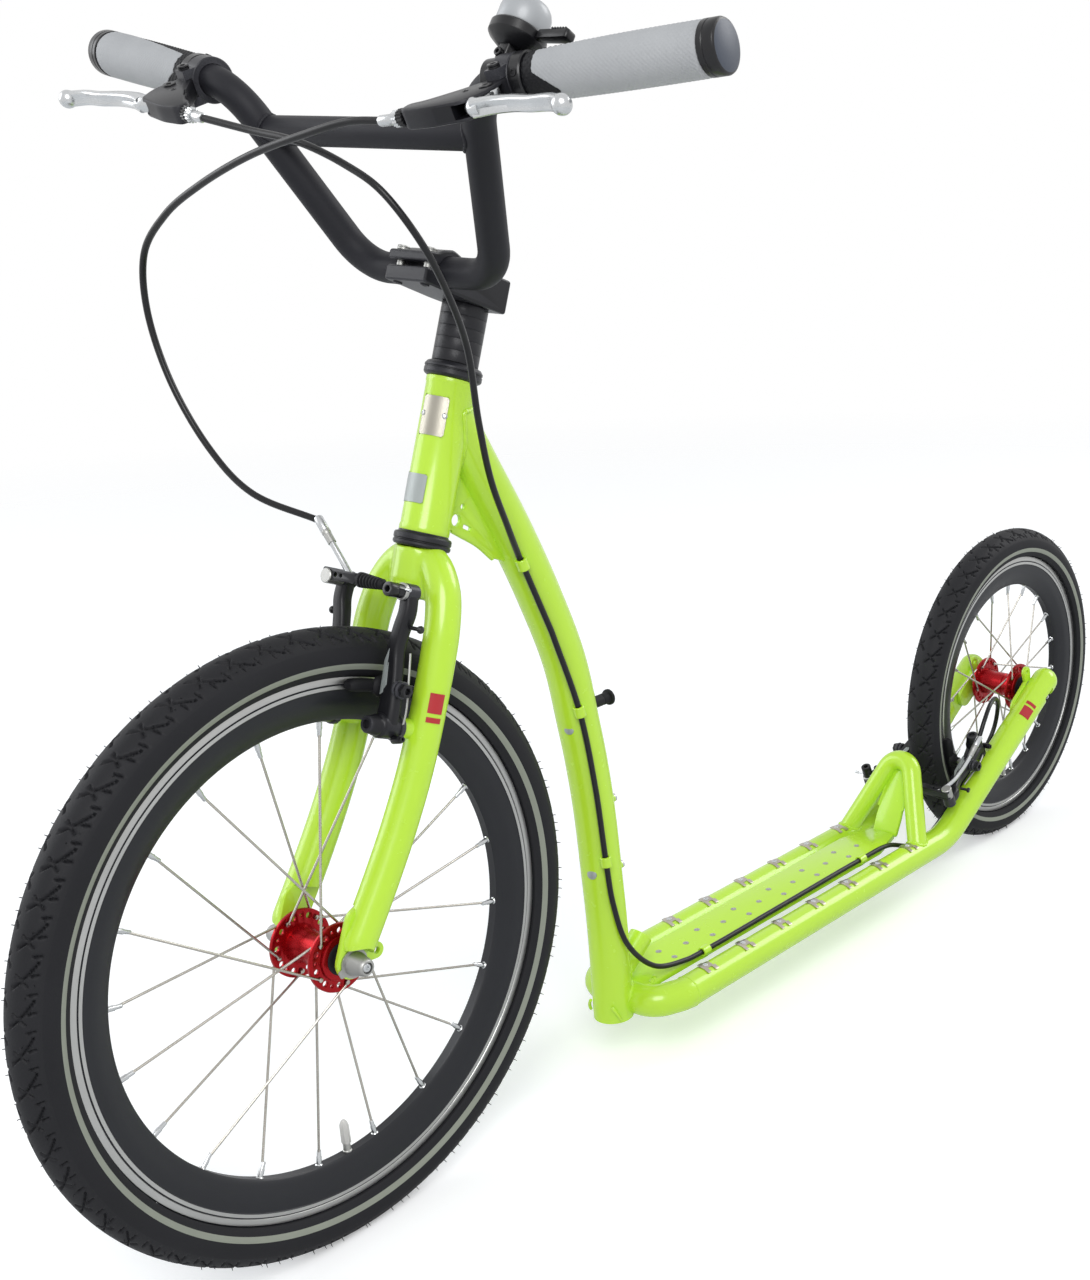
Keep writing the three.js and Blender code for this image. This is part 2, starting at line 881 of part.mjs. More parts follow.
function buildStem() {
  const barRoom = rod(
    v3(-stemHalfWidth - overrun, -barForward, barHeight),
    v3(stemHalfWidth + overrun, -barForward, barHeight),
    barBore,
    14,
  );
  const baseTop = barHeight - clampGap / 2;
  const plateLow = barHeight + clampGap / 2;
  const front = -barForward - stemFront;
  const profile = [
    [stemRear, stemBottom],
    [-stemBlock, stemBottom],
    [front, stemBottom + stemFrontRise],
    [front, baseTop],
    [-stemBlock, baseTop],
    [-stemBlock, stemTop],
    [stemRear, stemTop],
  ];
  const steererRoom = rod(
    v3(0, 0, stemBottom - overrun),
    v3(0, 0, stemTop - stemRoof),
    steererBore,
    steererSides,
  );
  const across = [stemBoltAcross, -stemBoltAcross];
  const holes = across.map((x) => rod(
    v3(x, -barForward - stemBoltAlong, stemBottom),
    v3(x, -barForward - stemBoltAlong, stemBottom + stemFrontRise + stemHoleDepth),
    stemHoleRadius,
    8,
  ));
  const block = sidePlate(profile, -stemHalfWidth, stemHalfWidth);
  add(steering, 'stem_body', cut(block, barRoom, steererRoom, ...holes), blackAlloy);

  const plate = box(
    v3(-stemHalfWidth, front, plateLow),
    v3(stemHalfWidth, -stemBlock - fit, stemTop),
  );
  const hump = overlap(
    rod(
      v3(-stemHalfWidth, -barForward, barHeight),
      v3(stemHalfWidth, -barForward, barHeight),
      clampHump,
      16,
    ),
    box(v3(-stemHalfWidth, front, plateLow), v3(stemHalfWidth, 0, stemTop + clampHump)),
  );
  const bolts = across.flatMap((x) => [stemBoltAlong, -stemBoltAlong].flatMap((y) => {
    const place = (z) => v3(x, -barForward + y, z);
    return [
      rod(place(baseTop + fit), place(stemTop + stemBoltHead), stemBoltRadius, 6),
      rod(place(stemTop - fit), place(stemTop + stemBoltHead), stemBoltHeadRadius, 6),
    ];
  }));
  const clamp = join(cut(join(plate, hump), barRoom), ...bolts);
  add(steering, 'stem_clamp_plate', clamp, blackAlloy);
}

// Handlebar places in the steering frame
const lowerCorner = v3(barLowerHalf, -barForward, barHeight);
const upperCorner = v3(barUpperHalf, -barForward - barReach, barHeight + barRise);
const barEnd = v3(barHalfWidth, upperCorner.y + barSweep, upperCorner.z + gripRise);
const gripAxis = barEnd.clone().sub(upperCorner).normalize();
const onGrip = (fromEnd) => barEnd.clone().addScaledVector(gripAxis, -fromEnd);

function barPoints() {
  const centre = v3(0, lowerCorner.y, lowerCorner.z);
  const tip = onGrip(endRingWidth / 2);
  const lower = rounded([centre, lowerCorner, upperCorner], barLowerBend, bendSteps);
  const upper = rounded([lower.at(-2), upperCorner, tip], barUpperBend, bendSteps);
  const half = [...lower.slice(0, -1), ...upper.slice(1)];
  return [...mirror(half).reverse(), ...half.slice(1)];
}

function buildHandlebar() {
  add(steering, 'handlebar', tube(barPoints(), barRadius, 12), blackBar);
  const joint = lowerCorner.clone().lerp(upperCorner, crossbarShare);
  const crossbar = rod(v3(-joint.x, joint.y, joint.z), joint, crossbarRadius, 14);
  const uprights = [
    rod(lowerCorner, upperCorner, barRadius + 2 * fit, 14),
    rod(...mirror([lowerCorner, upperCorner]), barRadius + 2 * fit, 14),
  ];
  add(steering, 'handlebar_crossbar', largest(cut(crossbar, ...uprights)), blackBar);
}

// A group whose X runs out along the grip, Y back and Z up, at a distance from the bar's end.
function gripGroup(side, fromEnd) {
  const group = new THREE.Group();
  const axisX = gripAxis.clone();
  const axisZ = up.clone().addScaledVector(axisX, -axisX.z).normalize();
  axisZ.applyAxisAngle(axisX, leverTilt);
  const axisY = axisZ.clone().cross(axisX);
  const flip = v3(side, 1, 1);
  group.quaternion.setFromRotationMatrix(new THREE.Matrix4().makeBasis(
    axisX.multiply(flip).multiplyScalar(side),
    axisY.multiply(flip),
    axisZ.multiply(flip),
  ));
  group.position.copy(onGrip(fromEnd).multiply(flip));
  group.updateMatrix();
  steering.add(group);
  return group;
}

function buildGrip(side) {
  const group = gripGroup(side, 0);
  const name = sideName(side);
  const outerEnd = -endRingWidth;
  const innerEnd = outerEnd - gripLength;
  const grip = turned([
    [barBore, innerEnd + fit],
    [gripInnerRadius, innerEnd + fit],
    [gripOuterRadius, outerEnd - fit],
    [barBore, outerEnd - fit],
  ], 14);
  add(group, `grip_${name}`, mirrored(alongX(grip), side), gripGrey);
  const lock = ring(lockRingRadius, barBore, innerEnd - lockRingWidth, innerEnd, 14);
  add(group, `grip_lock_ring_${name}`, mirrored(alongX(lock), side), blackAlloy);
  const plugEnd = -endRingWidth / 2 + fit;
  const end = turned([
    [0, 0],
    [endRingRadius - spacerGroove, 0],
    [endRingRadius, -spacerGroove],
    [endRingRadius, outerEnd],
    [barBore, outerEnd],
    [barBore, plugEnd],
    [0, plugEnd],
  ], 14);
  add(group, `grip_end_ring_${name}`, mirrored(alongX(end), side), capGrey);
}

const leverFromEnd = endRingWidth + gripLength + lockRingWidth + leverClampWidth / 2 + fit;
const barrelStart = -barrelInset - fit;
const barrelEnd = barrelStart - barrelLength;

function fingerOutline() {
  const edge = (sign) => fingerShares.map(([along, outward, depth]) => [
    along * bladeLength,
    -leverReach - outward * bladeReach + sign * depth * bladeReach,
  ]);
  return [...edge(-1), ...edge(1).reverse()];
}

// The blade: a root in the bracket's slot and a deeper finger part outside it.
function leverBlade() {
  const rootHalf = bladeRootHeight / 2;
  const fingerHalf = bladeHeight / 2;
  const root = flatPlate(scaled(bladeRootShares, leverReach), -rootHalf, rootHalf);
  const finger = cut(
    flatPlate(fingerOutline(), -fingerHalf, fingerHalf),
    box(
      v3(-leverReach, -2 * leverReach, -bladeHeight),
      v3(leverReach / 4, leverReach, bladeHeight),
    ),
  );
  const tip = new THREE.SphereGeometry(bladeTip, 10, 6)
    .translate(bladeLength, -leverReach - bladeReach, 0);
  const pinRoom = rod(
    v3(0, -leverPivotReach, -bladeHeight),
    v3(0, -leverPivotReach, bladeHeight),
    pivotRadius + fit,
    10,
  );
  return cut(join(root, finger, tip), pinRoom);
}

function leverBracket() {
  const half = leverClampWidth / 2;
  const clamp = alongX(ring(barBore + leverClampWall, barBore, -half, half, 14));
  const webHalf = bracketHeight / 2;
  const web = flatPlate(scaled(bracketShares, leverReach), -webHalf, webHalf);
  const barRoom = alongX(rod(v3(0, 0, -barrelInset), v3(0, 0, barrelInset), barBore, 14));
  const slotHalf = bladeRootHeight / 2 + fit;
  const slot = box(
    v3(-bracketSlotInset, -leverPivotReach + bladeRootHeight, -slotHalf),
    v3(leverReach, -2 * leverReach, slotHalf),
  );
  const pinHalf = webHalf - fit;
  const pin = rod(
    v3(0, -leverPivotReach, -pinHalf),
    v3(0, -leverPivotReach, pinHalf),
    pivotRadius,
    10,
  );
  return join(clamp, cut(web, barRoom, slot), pin);
}

function buildLever(side) {
  const group = gripGroup(side, leverFromEnd);
  const name = sideName(side);
  add(group, `brake_bracket_${name}`, mirrored(leverBracket(), side), blackAlloy);
  add(group, `brake_lever_${name}`, mirrored(leverBlade(), side), silver);
  const barrel = alongX(ring(barrelRadius, barrelBore, barrelEnd, barrelStart, 12))
    .translate(0, -barrelReach, 0);
  add(group, `brake_barrel_${name}`, mirrored(barrel, side), silver);
  const mouth = v3(side * barrelEnd, -barrelReach, 0);
  return cableStart(mouth, v3(-side, 0, 0))
    .map((place) => fromHead(place.applyMatrix4(group.matrix)));
}

function buildBell() {
  const group = new THREE.Group();
  const fromEnd = leverFromEnd + (leverClampWidth + bellClampWidth) / 2 + fit;
  group.position.copy(onGrip(fromEnd));
  group.rotation.x = -bellLean;
  steering.add(group);
  const barRoom = tube(barPoints(), barRadius + fit, 12)
    .translate(...group.position.clone().negate())
    .rotateX(bellLean);
  const clampHalf = bellClampWidth / 2;
  const clamp = alongX(rod(
    v3(0, 0, -clampHalf),
    v3(0, 0, clampHalf),
    barRadius + fit + bellClampWall,
    14,
  ));
  const gripWay = gripAxis.clone().applyAxisAngle(out, bellLean);
  const turnToGrip = new THREE.Quaternion().setFromUnitVectors(out, gripWay);
  clamp.applyQuaternion(turnToGrip);
  const baseTop = bellFoot + bellBaseHeight;
  const neck = box(
    v3(-clampHalf + fit, -bellNeckRadius, 0),
    v3(clampHalf - fit, bellNeckRadius, baseTop),
  ).applyQuaternion(turnToGrip);
  const base = turned([
    [0, bellFoot],
    [bellNeckRadius, bellFoot],
    [bellBaseRadius, bellFoot + bellBaseHeight / 2],
    [bellBaseRadius, baseTop],
    [0, baseTop],
  ], 14);
  add(group, 'bell_base', largest(cut(join(clamp, neck, base), barRoom)), blackRubber);
  const domeLow = baseTop + fit;
  const dome = domeShares.map(([radius, height]) => [
    radius * bellRadius,
    domeLow + height * bellHeight,
  ]);
  add(group, 'bell_dome', turned(dome, 16), bellShell);
  const thumbHigh = baseTop - fit;
  const thumb = box(
    v3(bellBaseRadius + fit, -bellThumbWidth / 2, thumbHigh - bellThumbHeight),
    v3(bellBaseRadius + bellThumbLength, bellThumbWidth / 2, thumbHigh),
  );
  add(group, 'bell_thumb_lever', thumb, blackRubber);
}

// A brake pad bent to the rim, with its post to the arm.
function brakePad(side, rimRadius, postEnd) {
  const outer = rimRadius * Math.cos(Math.PI / wheelSegments) - fit;
  const inner = outer - padHeight;
  const spread = padHalfLength / rimRadius;
  const arc = (radius, from) => {
    const edge = [];
    for (let i = 0; i <= padSteps; i += 1) {
      const angle = from * spread * (1 - (2 * i) / padSteps);
      edge.push([radius * Math.sin(angle), radius * Math.cos(angle)]);
    }
    return edge;
  };
  const face = rimHalfWidth + padGap;
  const edges = [side * face, side * (face + padThickness)];
  const block = sidePlate(
    [...arc(outer, 1), ...arc(inner, -1)],
    Math.min(...edges),
    Math.max(...edges),
  );
  const height = outer - padHeight / 2;
  const post = rod(
    v3(side * (face + padThickness / 2), -armOffset, height),
    v3(side * postEnd, -armOffset, height),
    padPost,
    8,
  );
  return join(block, post);
}

// A ribbed sleeve along X from the origin, with a bore for the wire.
function ribbedBoot(direction) {
  const outline = [[bootBore, 0], [bootRadius, 0]];
  const pitch = bootLength / bootRibs;
  for (let i = 1; i <= bootRibs; i += 1) {
    const radius = bootRadius + (bootTip - bootRadius) * (i / bootRibs);
    outline.push([radius - bootRib, (i - 0.5) * pitch]);
    outline.push([radius, i * pitch]);
  }
  outline.push([bootBore, bootLength]);
  return mirrored(alongX(turned(outline, 8)), direction);
}

// A brake arm about its pivot, leaning outwards; the anchor clamps the wire.
function brakeArm(side, splay, armLength, hasAnchor) {
  const blade = frontPlate([
    [-armFoot / 2, 0],
    [(armBow - armFoot) / 2, pivotDrop / 2],
    [(armBow - armWidth) / 2, pivotDrop],
    [-(armBow + armWidth) / 2, armLength * armBowShare],
    [-armWidth / 2, armLength],
    [armWidth / 2, armLength],
    [(armWidth - armBow) / 2, armLength * armBowShare],
    [(armWidth + armBow) / 2, pivotDrop],
    [armFoot / 2, 0],
  ], -armDepth / 2, armDepth / 2);
  const along = (z, from, to, radius, sides) => rod(v3(0, from, z), v3(0, to, z), radius, sides);
  const pieces = [
    along(0, armBarrel / 2, -armBarrel / 2, armBarrelRadius, 12),
    along(0, fit - armBarrel / 2, -armBarrel / 2 - armBolt, armBoltRadius, 8),
    along(armLength, armDepth / 2, -armDepth / 2, armWidth / 2, 8),
  ];
  if (hasAnchor) {
    pieces.push(along(armLength, 0, -armDepth / 2 - anchorLength, anchorRadius, 8));
  }
  return mirrored(join(blade, ...pieces), side).rotateY(side * splay);
}

// One rim brake in its own frame, its link on the -X side; returns where its cable ends.
function buildBrake(group, prefix, flip, sizes, noodleSteps) {
  const { rimRadius, splay, armLength, wireOut } = sizes;
  const height = rimRadius - pivotDrop;
  const padRise = pivotDrop - fit - padHeight / 2;
  const armAtPad = pivotSpread + Math.tan(splay) * padRise;
  const tipX = pivotSpread + Math.sin(splay) * armLength;
  const tipZ = height + Math.cos(splay) * armLength;
  const wireY = -armOffset - wireOut;
  const wireZ = tipZ + wireRise;
  for (const side of [1, -1]) {
    const name = sideName(side * flip);
    const arm = brakeArm(side, splay, armLength, side > 0)
      .translate(side * pivotSpread, -armOffset, height);
    const nut = rod(
      v3(side * armAtPad, -armOffset, height + padRise),
      v3(side * (armAtPad + armWidth / 2 + padNut), -armOffset, height + padRise),
      padPost,
      8,
    );
    const clamp = v3(tipX, wireY, wireZ);
    const wireHole = alongX(rod(v3(0, 0, -armWidth), v3(0, 0, armWidth), wireRoom, 8))
      .translate(...clamp);
    add(group, `${prefix}_brake_arm_${name}`, cut(join(arm, nut), wireHole), blackAlloy);
    const pad = brakePad(side, rimRadius, armAtPad - armFoot / 2 - fit);
    add(group, `${prefix}_brake_pad_${name}`, pad, blackRubber);
  }

  const linkEnd = tipX - linkLength;
  const link = box(
    v3(-tipX - linkHeight / 2, wireY - linkDepth / 2, wireZ - linkHeight / 2),
    v3(-linkEnd, wireY + linkDepth / 2, wireZ + linkHeight / 2),
  );
  const pin = rod(
    v3(-tipX, -armOffset - armDepth / 2 - fit, tipZ),
    v3(-tipX, wireY, tipZ),
    linkPin,
    8,
  );
  const bend = noodleSteps.map(([inward, y, z]) => v3(inward - tipX, wireY + y, wireZ + z));
  const start = v3(-linkEnd - linkHeight, wireY, wireZ);
  const path = smooth([start, ...bend], 2 * bend.length);
  const [before, end] = bend.slice(-2);
  const ferrule = rod(before.clone().lerp(end, ferruleShare), end, ferruleRadius, 8);
  const wireEnd = v3(tipX + anchorRadius + wireTail, wireY, wireZ);
  const wire = rod(start, wireEnd, innerWire, 4);
  const noodle = join(link, pin, tube(path, noodleRadius, 6), ferrule, wire);
  add(group, `${prefix}_brake_noodle`, noodle, silver);
  const boot = ribbedBoot(1).translate(fit - linkEnd, wireY, wireZ);
  add(group, `${prefix}_brake_boot`, boot, blackRubber);
  const way = end.clone().sub(before);
  return cableStart(end, way).map((place) => place.applyMatrix4(group.matrix));
}

function downTubePoints() {
  const top = fromHead(v3(0, 0, downTubeTop));
  const drop = top.z - downTubeFoot;
  const points = downTubeShares.map(([reach, fall]) => (
    v3(0, top.y + reach * downTubeReach, top.z - fall * drop)
  ));
  return smooth(points, downTubeSteps);
}

function headBlank(radius) {
  return rod(
    fromHead(v3(0, 0, -overrun)),
    fromHead(v3(0, 0, headTubeLength + overrun)),
    radius,
    20,
  );
}

function crossTubePoints() {
  const end = v3(railSpacing, railStart - fit, railHeight);
  const corner = v3(railSpacing, crossTubeY + cornerRun, railHeight);
  const inner = v3(railSpacing - cornerInset, crossTubeY, railHeight);
  const corners = [end, corner, inner, ...mirror([inner, corner, end])];
  return rounded(corners, cornerBend, cornerSteps);
}

// A sleeve round a cable, or the room inside it.
function guideSleeve(place, way, radius, length) {
  const half = way.clone().setLength(length / 2);
  return rod(place.clone().sub(half), place.clone().add(half), radius, 8);
}

function buildDownTube() {
  const points = downTubePoints();
  const centreY = (height) => {
    const below = points.findIndex((p) => p.z < height);
    const [a, b] = points.slice(below - 1, below + 1);
    return a.y + ((b.y - a.y) * (a.z - height)) / (a.z - b.z);
  };
  const sleeves = (radius, length) => places(downTubeGuides).map((place, i, list) => {
    const way = list[Math.min(i + 1, list.length - 1)].clone().sub(list[Math.max(i - 1, 0)]);
    return guideSleeve(place, way, radius, length);
  });
  const foot = points.at(-1);
  const stubWay = v3(0, Math.cos(stubTilt), Math.sin(stubTilt));
  const stubFrom = v3(0, foot.y, stubHeight - Math.tan(stubTilt) * downTubeRadius);
  const alongStub = (distance) => stubFrom.clone().addScaledVector(stubWay, distance);
  const stubEnd = downTubeRadius + stubLength;
  const stub = rod(stubFrom, alongStub(stubEnd), stubRadius, 12);
  const stubRoom = rod(
    alongStub(downTubeRadius + overrun),
    alongStub(stubEnd + overrun),
    stubRadius - stubWall,
    12,
  );
  const bosses = bossHeights.map((height) => {
    const y = centreY(height);
    return rod(v3(0, y, height), v3(0, y + bossReach, height), bossRadius, 8);
  });
  const sleeveRadius = cableRadius + guideRoom;
  const body = join(
    tube(points, downTubeRadius, downTubeSides),
    stub,
    ...bosses,
    ...sleeves(sleeveRadius + guideWall, guideLength),
  );
  const trimmed = cut(
    body,
    headBlank(headTubeRadius + fit),
    tube(crossTubePoints(), railRadius + fit, railSides),
    stubRoom,
    ...sleeves(sleeveRadius, 2 * guideLength),
  );
  add(bike, 'down_tube', largest(trimmed), paint);

  const pegY = centreY(pegHeight);
  const pegEnd = v3(0, pegY + pegReach, pegHeight);
  const peg = join(
    rod(v3(0, pegY, pegHeight), pegEnd, pegRadius, 10),
    rod(v3(0, pegEnd.y - pegFlangeWidth, pegHeight), pegEnd, pegFlange, 10),
  );
  add(bike, 'peg', largest(cut(peg, tube(points, downTubeRadius + fit, downTubeSides))), blackRubber);
}

function buildGusset() {
  const place = ([y, z]) => v3(0, headY + y * gussetReach, headZ + z * gussetReach);
  const outline = gussetShares.map(place).map((p) => [p.y, p.z]);
  const half = gussetThickness / 2;
  const hole = (share, radius) => {
    const p = place(share);
    return rod(v3(-overrun, p.y, p.z), v3(overrun, p.y, p.z), radius, 10);
  };
  const [from, to] = gussetSlotShares.map(place);
  const wide = to.clone().sub(from).applyAxisAngle(out, Math.PI / 2).setLength(gussetSmallHole);
  const corners = [
    from.clone().add(wide),
    to.clone().add(wide),
    to.clone().sub(wide),
    from.clone().sub(wide),
  ];
  const slot = sidePlate(corners.map((p) => [p.y, p.z]), -overrun, overrun);
  const plate = cut(
    sidePlate(outline, -half, half),
    headBlank(headTubeRadius + fit),
    tube(downTubePoints(), downTubeRadius + fit, downTubeSides),
    hole(gussetHoleShare, gussetHole),
    hole(gussetSmallShare, gussetSmallHole),
    slot,
  );
  add(bike, 'gusset', largest(plate), paint);
}

function railPoints(side) {
  const start = v3(railSpacing, railStart, railHeight);
  const kink = v3(railSpacing, kinkY, railHeight);
  const end = v3(
    railEndSpacing,
    rearAxle.y + railOvershoot * Math.cos(railSlope),
    rearAxle.z + railOvershoot * Math.sin(railSlope),
  );
  const points = rounded([start, kink, end], kinkBend, bendSteps);
  return side > 0 ? points : mirror(points);
}

// An anti-slip clip over the rail, with a tongue inwards.
function gripClip(side, y) {
  const outline = [
    [-clipInner, -clipTongue / 2],
    [-clipInner, clipTongue / 2],
    [0, clipTongue / 2],
    [0, clipHalfLength],
    [clipOuter, clipHalfLength],
    [clipOuter, -clipHalfLength],
    [0, -clipHalfLength],
    [0, -clipTongue / 2],
  ];
  const prism = flatPlate(outline, railHeight, railHeight + 2 * railRadius)
    .translate(side * railSpacing, y, 0);
  const skin = rod(
    v3(side * railSpacing, y - 2 * clipHalfLength, railHeight),
    v3(side * railSpacing, y + 2 * clipHalfLength, railHeight),
    railRadius + clipThickness,
    railSides,
  );
  return overlap(prism, skin);
}

// The rear brake's frame: its arms lie forwards and its own X points to the rider's right.
const rearBrakeEuler = new THREE.Euler(Math.PI / 2 + rearBrakeDip, 0, Math.PI);
const rearBrakeTurn = new THREE.Matrix4().makeRotationFromEuler(rearBrakeEuler)
  .setPosition(rearAxle);

function buildRail(side) {
  const points = railPoints(side);
  const body = tube(points, railRadius, railSides);
  const cap = new THREE.SphereGeometry(railRadius, railSides, 6).translate(...points.at(-1));
  const boss = brakeBoss(-side, rearBossDepth, rearRimRadius).applyMatrix4(rearBrakeTurn);
  const clips = [];
  for (let i = 0; i < clipCount; i += 1) clips.push(gripClip(side, clipStart + i * clipPitch));
  const plateFace = side * (dropoutInner + dropoutThickness + fit);
  const wheelRoom = box(
    v3(0, -dropoutRoomLength, -dropoutRoomLength),
    v3(plateFace, dropoutRoomLength, dropoutRoomLength),
  ).translate(...rearAxle);
  const pocket = nutRoom(side, pocketLength).translate(...rearAxle);
  const slot = box(
    v3(plateFace, -nutRadius, -nutRadius),
    v3(plateFace + side * 2 * railRadius, nutRadius, -2 * railRadius),
  ).rotateX(railSlope).translate(...rearAxle);
  const rail = cut(join(body, cap, boss, ...clips), wheelRoom, pocket, slot);
  add(bike, `rail_${sideName(side)}`, largest(rail), paint);

  const tongueEnd = v3(0, -Math.cos(railSlope), -Math.sin(railSlope));
  const plate = dropoutPlate(
    side,
    tongueEnd.setLength(rearTongueLength),
    v3(0, rearTabBack, rearTabRise),
  );
  add(bike, `dropout_${sideName(side)}`, plate, paint).position.copy(rearAxle);
}

function archPoints() {
  const foot = v3(railSpacing, archFootY, archFootZ);
  const peak = v3(0, archPeakY, archPeakZ);
  return rounded([foot, peak, ...mirror([foot])], archBend, archSteps);
}

function buildDeck() {
  const outline = [
    [-deckHalfWidth, crossTubeY],
    [deckHalfWidth, crossTubeY],
    [deckHalfWidth, deckTaperY],
    [deckTail, deckEnd],
    [-deckTail, deckEnd],
    [-deckHalfWidth, deckTaperY],
  ];
  const low = deckTop - deckThickness;
  const sleeves = (radius, length) => places(deckGuides).map((place) => (
    guideSleeve(place, v3(0, 1, 0), radius, length)
  ));
  const sleeveRadius = cableRadius + guideRoom;
  const plate = cut(
    join(flatPlate(outline, low, deckTop), ...sleeves(sleeveRadius + guideWall, guideLength)),
    tube(crossTubePoints(), railRadius + fit, railSides),
    tube(downTubePoints(), downTubeRadius + fit, downTubeSides),
    ...sleeves(sleeveRadius, 2 * guideLength),
  );
  add(bike, 'deck_plate', largest(plate), paint);
}

function buildArch() {
  const low = deckTop - deckThickness;
  const archLean = Math.atan2(archPeakY - archFootY, archPeakZ - archFootZ);
  const flap = frontPlate([
    [-deckTail, 0],
    [deckTail, 0],
    [deckTail, flapLength],
    [-deckTail, flapLength],
  ], -flapThickness / 2, flapThickness / 2)
    .rotateX(-archLean)
    .translate(0, deckEnd + flapThickness / 2, low);
  const deckRoom = box(
    v3(-2 * deckTail, deckTaperY, low - overrun),
    v3(2 * deckTail, deckEnd + fit, deckTop + fit),
  );
  const archRoom = tube(archPoints(), archRadius + fit, archSides);
  add(bike, 'deck_flap', largest(cut(flap, archRoom, deckRoom)), paint);

  const rails = [1, -1].map((side) => tube(railPoints(side), railRadius + fit, railSides));
  add(bike, 'arch', largest(cut(tube(archPoints(), archRadius, archSides), ...rails)), paint);
}

function buildFrame() {
  add(headFrame, 'head_tube', ring(headTubeRadius, headTubeBore, 0, headTubeLength, 20), paint);
  buildDownTube();
  buildGusset();
  add(bike, 'cross_tube', tube(crossTubePoints(), railRadius, railSides), paint);
  for (const side of [1, -1]) buildRail(side);
  buildDeck();
  buildArch();
}

function buildCables(ends) {
  const cable = (name, points, steps) => {
    const path = [points[0], ...smooth(points.slice(1, -1), steps), points.at(-1)];
    add(bike, name, tube(path, cableRadius, cableSides), cableBlack);
  };
  const frame = places(rearCableRoute);
  const [loopEnd, loopLead] = cableStart(frame[0], frame[0].clone().sub(frame[1]));
  const front = [...ends.leftLever, ...places(frontCableRoute), ...ends.front.reverse()];
  cable('front_brake_cable', front, 24);
  const loop = [...ends.rightLever, ...places(rearLoopRoute), loopLead, loopEnd];
  cable('rear_brake_cable_loop', loop, 24);
  cable('rear_brake_cable_frame', [...frame, ...ends.rear.reverse()], 38);
}

buildFrame();
buildHeadset();
buildFork();
buildSpacers();
buildStem();
buildHandlebar();
for (const side of [1, -1]) buildGrip(side);
const leftLever = buildLever(1);
const rightLever = buildLever(-1);
buildBell();
const frontSizes = [frontRimRadius, frontTyreSeat, frontTyreSection];
const rearSizes = [rearRimRadius, rearTyreSeat, rearTyreSection];
buildWheel(steering, 'front', frontAxle, lean, frontSizes, 0);
buildWheel(bike, 'rear', rearAxle, 0, rearSizes, rearValveTurn);

const frontBrake = new THREE.Group();
frontBrake.position.copy(frontAxle);
steering.add(frontBrake);
const rearBrake = new THREE.Group();
rearBrake.position.copy(rearAxle);
rearBrake.rotation.copy(rearBrakeEuler);
bike.add(rearBrake);
for (const group of [frontBrake, rearBrake]) group.updateMatrix();
const frontBrakeSizes = {
  rimRadius: frontRimRadius,
  splay: 0,
  armLength: frontArmLength,
  wireOut: frontWireOut,
};
const rearBrakeSizes = {
  rimRadius: rearRimRadius,
  splay: rearBrakeSplay,
  armLength: rearArmLength,
  wireOut: rearWireOut,
};
const frontEnd = buildBrake(frontBrake, 'front', 1, frontBrakeSizes, frontNoodle);
const rearEnd = buildBrake(rearBrake, 'rear', -1, rearBrakeSizes, rearNoodle);

buildCables({
  leftLever,
  rightLever,
  front: frontEnd.map(fromHead),
  rear: rearEnd,
});

export default bike;
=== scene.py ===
import math

import bmesh
import bpy
from mathutils import Matrix, Vector


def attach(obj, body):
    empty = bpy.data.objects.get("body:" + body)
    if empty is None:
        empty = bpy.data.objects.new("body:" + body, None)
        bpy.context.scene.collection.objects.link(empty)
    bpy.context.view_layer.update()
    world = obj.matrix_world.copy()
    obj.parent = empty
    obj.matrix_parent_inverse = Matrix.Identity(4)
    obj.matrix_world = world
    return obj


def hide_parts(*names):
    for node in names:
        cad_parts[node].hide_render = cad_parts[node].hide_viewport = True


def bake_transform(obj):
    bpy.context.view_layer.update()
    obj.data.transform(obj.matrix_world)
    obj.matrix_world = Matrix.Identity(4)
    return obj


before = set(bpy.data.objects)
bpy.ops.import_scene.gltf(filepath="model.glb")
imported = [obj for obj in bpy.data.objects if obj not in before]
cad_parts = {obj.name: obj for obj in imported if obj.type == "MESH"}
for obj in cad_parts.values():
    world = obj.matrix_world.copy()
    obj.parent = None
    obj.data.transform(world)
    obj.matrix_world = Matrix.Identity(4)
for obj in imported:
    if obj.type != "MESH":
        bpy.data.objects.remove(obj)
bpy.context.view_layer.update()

# The camera that fits the photograph's perspective
IMAGE_WIDE, IMAGE_HIGH = 1090, 1280
CAMERA_PLACE = (1.0504, -1.2181, 0.8565)
CAMERA_FORWARD = (-0.5266, 0.7599, -0.3811)
CAMERA_UPWARD = (-0.2107, 0.3177, 0.9245)
FOCAL_PIXELS = 1832.9
CENTRE_PIXEL = (894.0, 810.5)
SENSOR_WIDTH = 36

# Lengths are millimetres, from the ground under the front axle, until a piece is made of them.
MM = 0.001
Y_SHIFT = 456

WHEEL_BASE = 975
LEAN = math.radians(90 - 68.5)
AXLE_TO_HEAD = 319
FORK_RAKE = 26.9
HEAD_LENGTH = 114.4
BAR_HALF = 305.7
FIT = 0.3
FRONT_RIM, FRONT_SEAT, FRONT_SECTION = 209, 14.2, 19.8
REAR_RIM, REAR_SEAT, REAR_SECTION = 150, 11, 19
REAR_VALVE = math.radians(3.4)
DROPOUT_INNER, DROPOUT_THICK, DROPOUT_RADIUS = 33, 5, 13
CUP_RADIUS, CUP_HEIGHT = 21.2, 11.3
HEAD_RADIUS = 18
CROWN_RADIUS = 18.6
LEG_SPREAD, LEG_RADIUS = 38.4, 13.2
SPACER_HEIGHT, SPACER_COUNT, SPACER_RADIUS = 8.6, 5, 17
STEM_HALF, STEM_HEIGHT, STEM_REAR, STEM_BLOCK, STEM_FRONT = 20.8, 25, 20.5, 17.5, 22.5
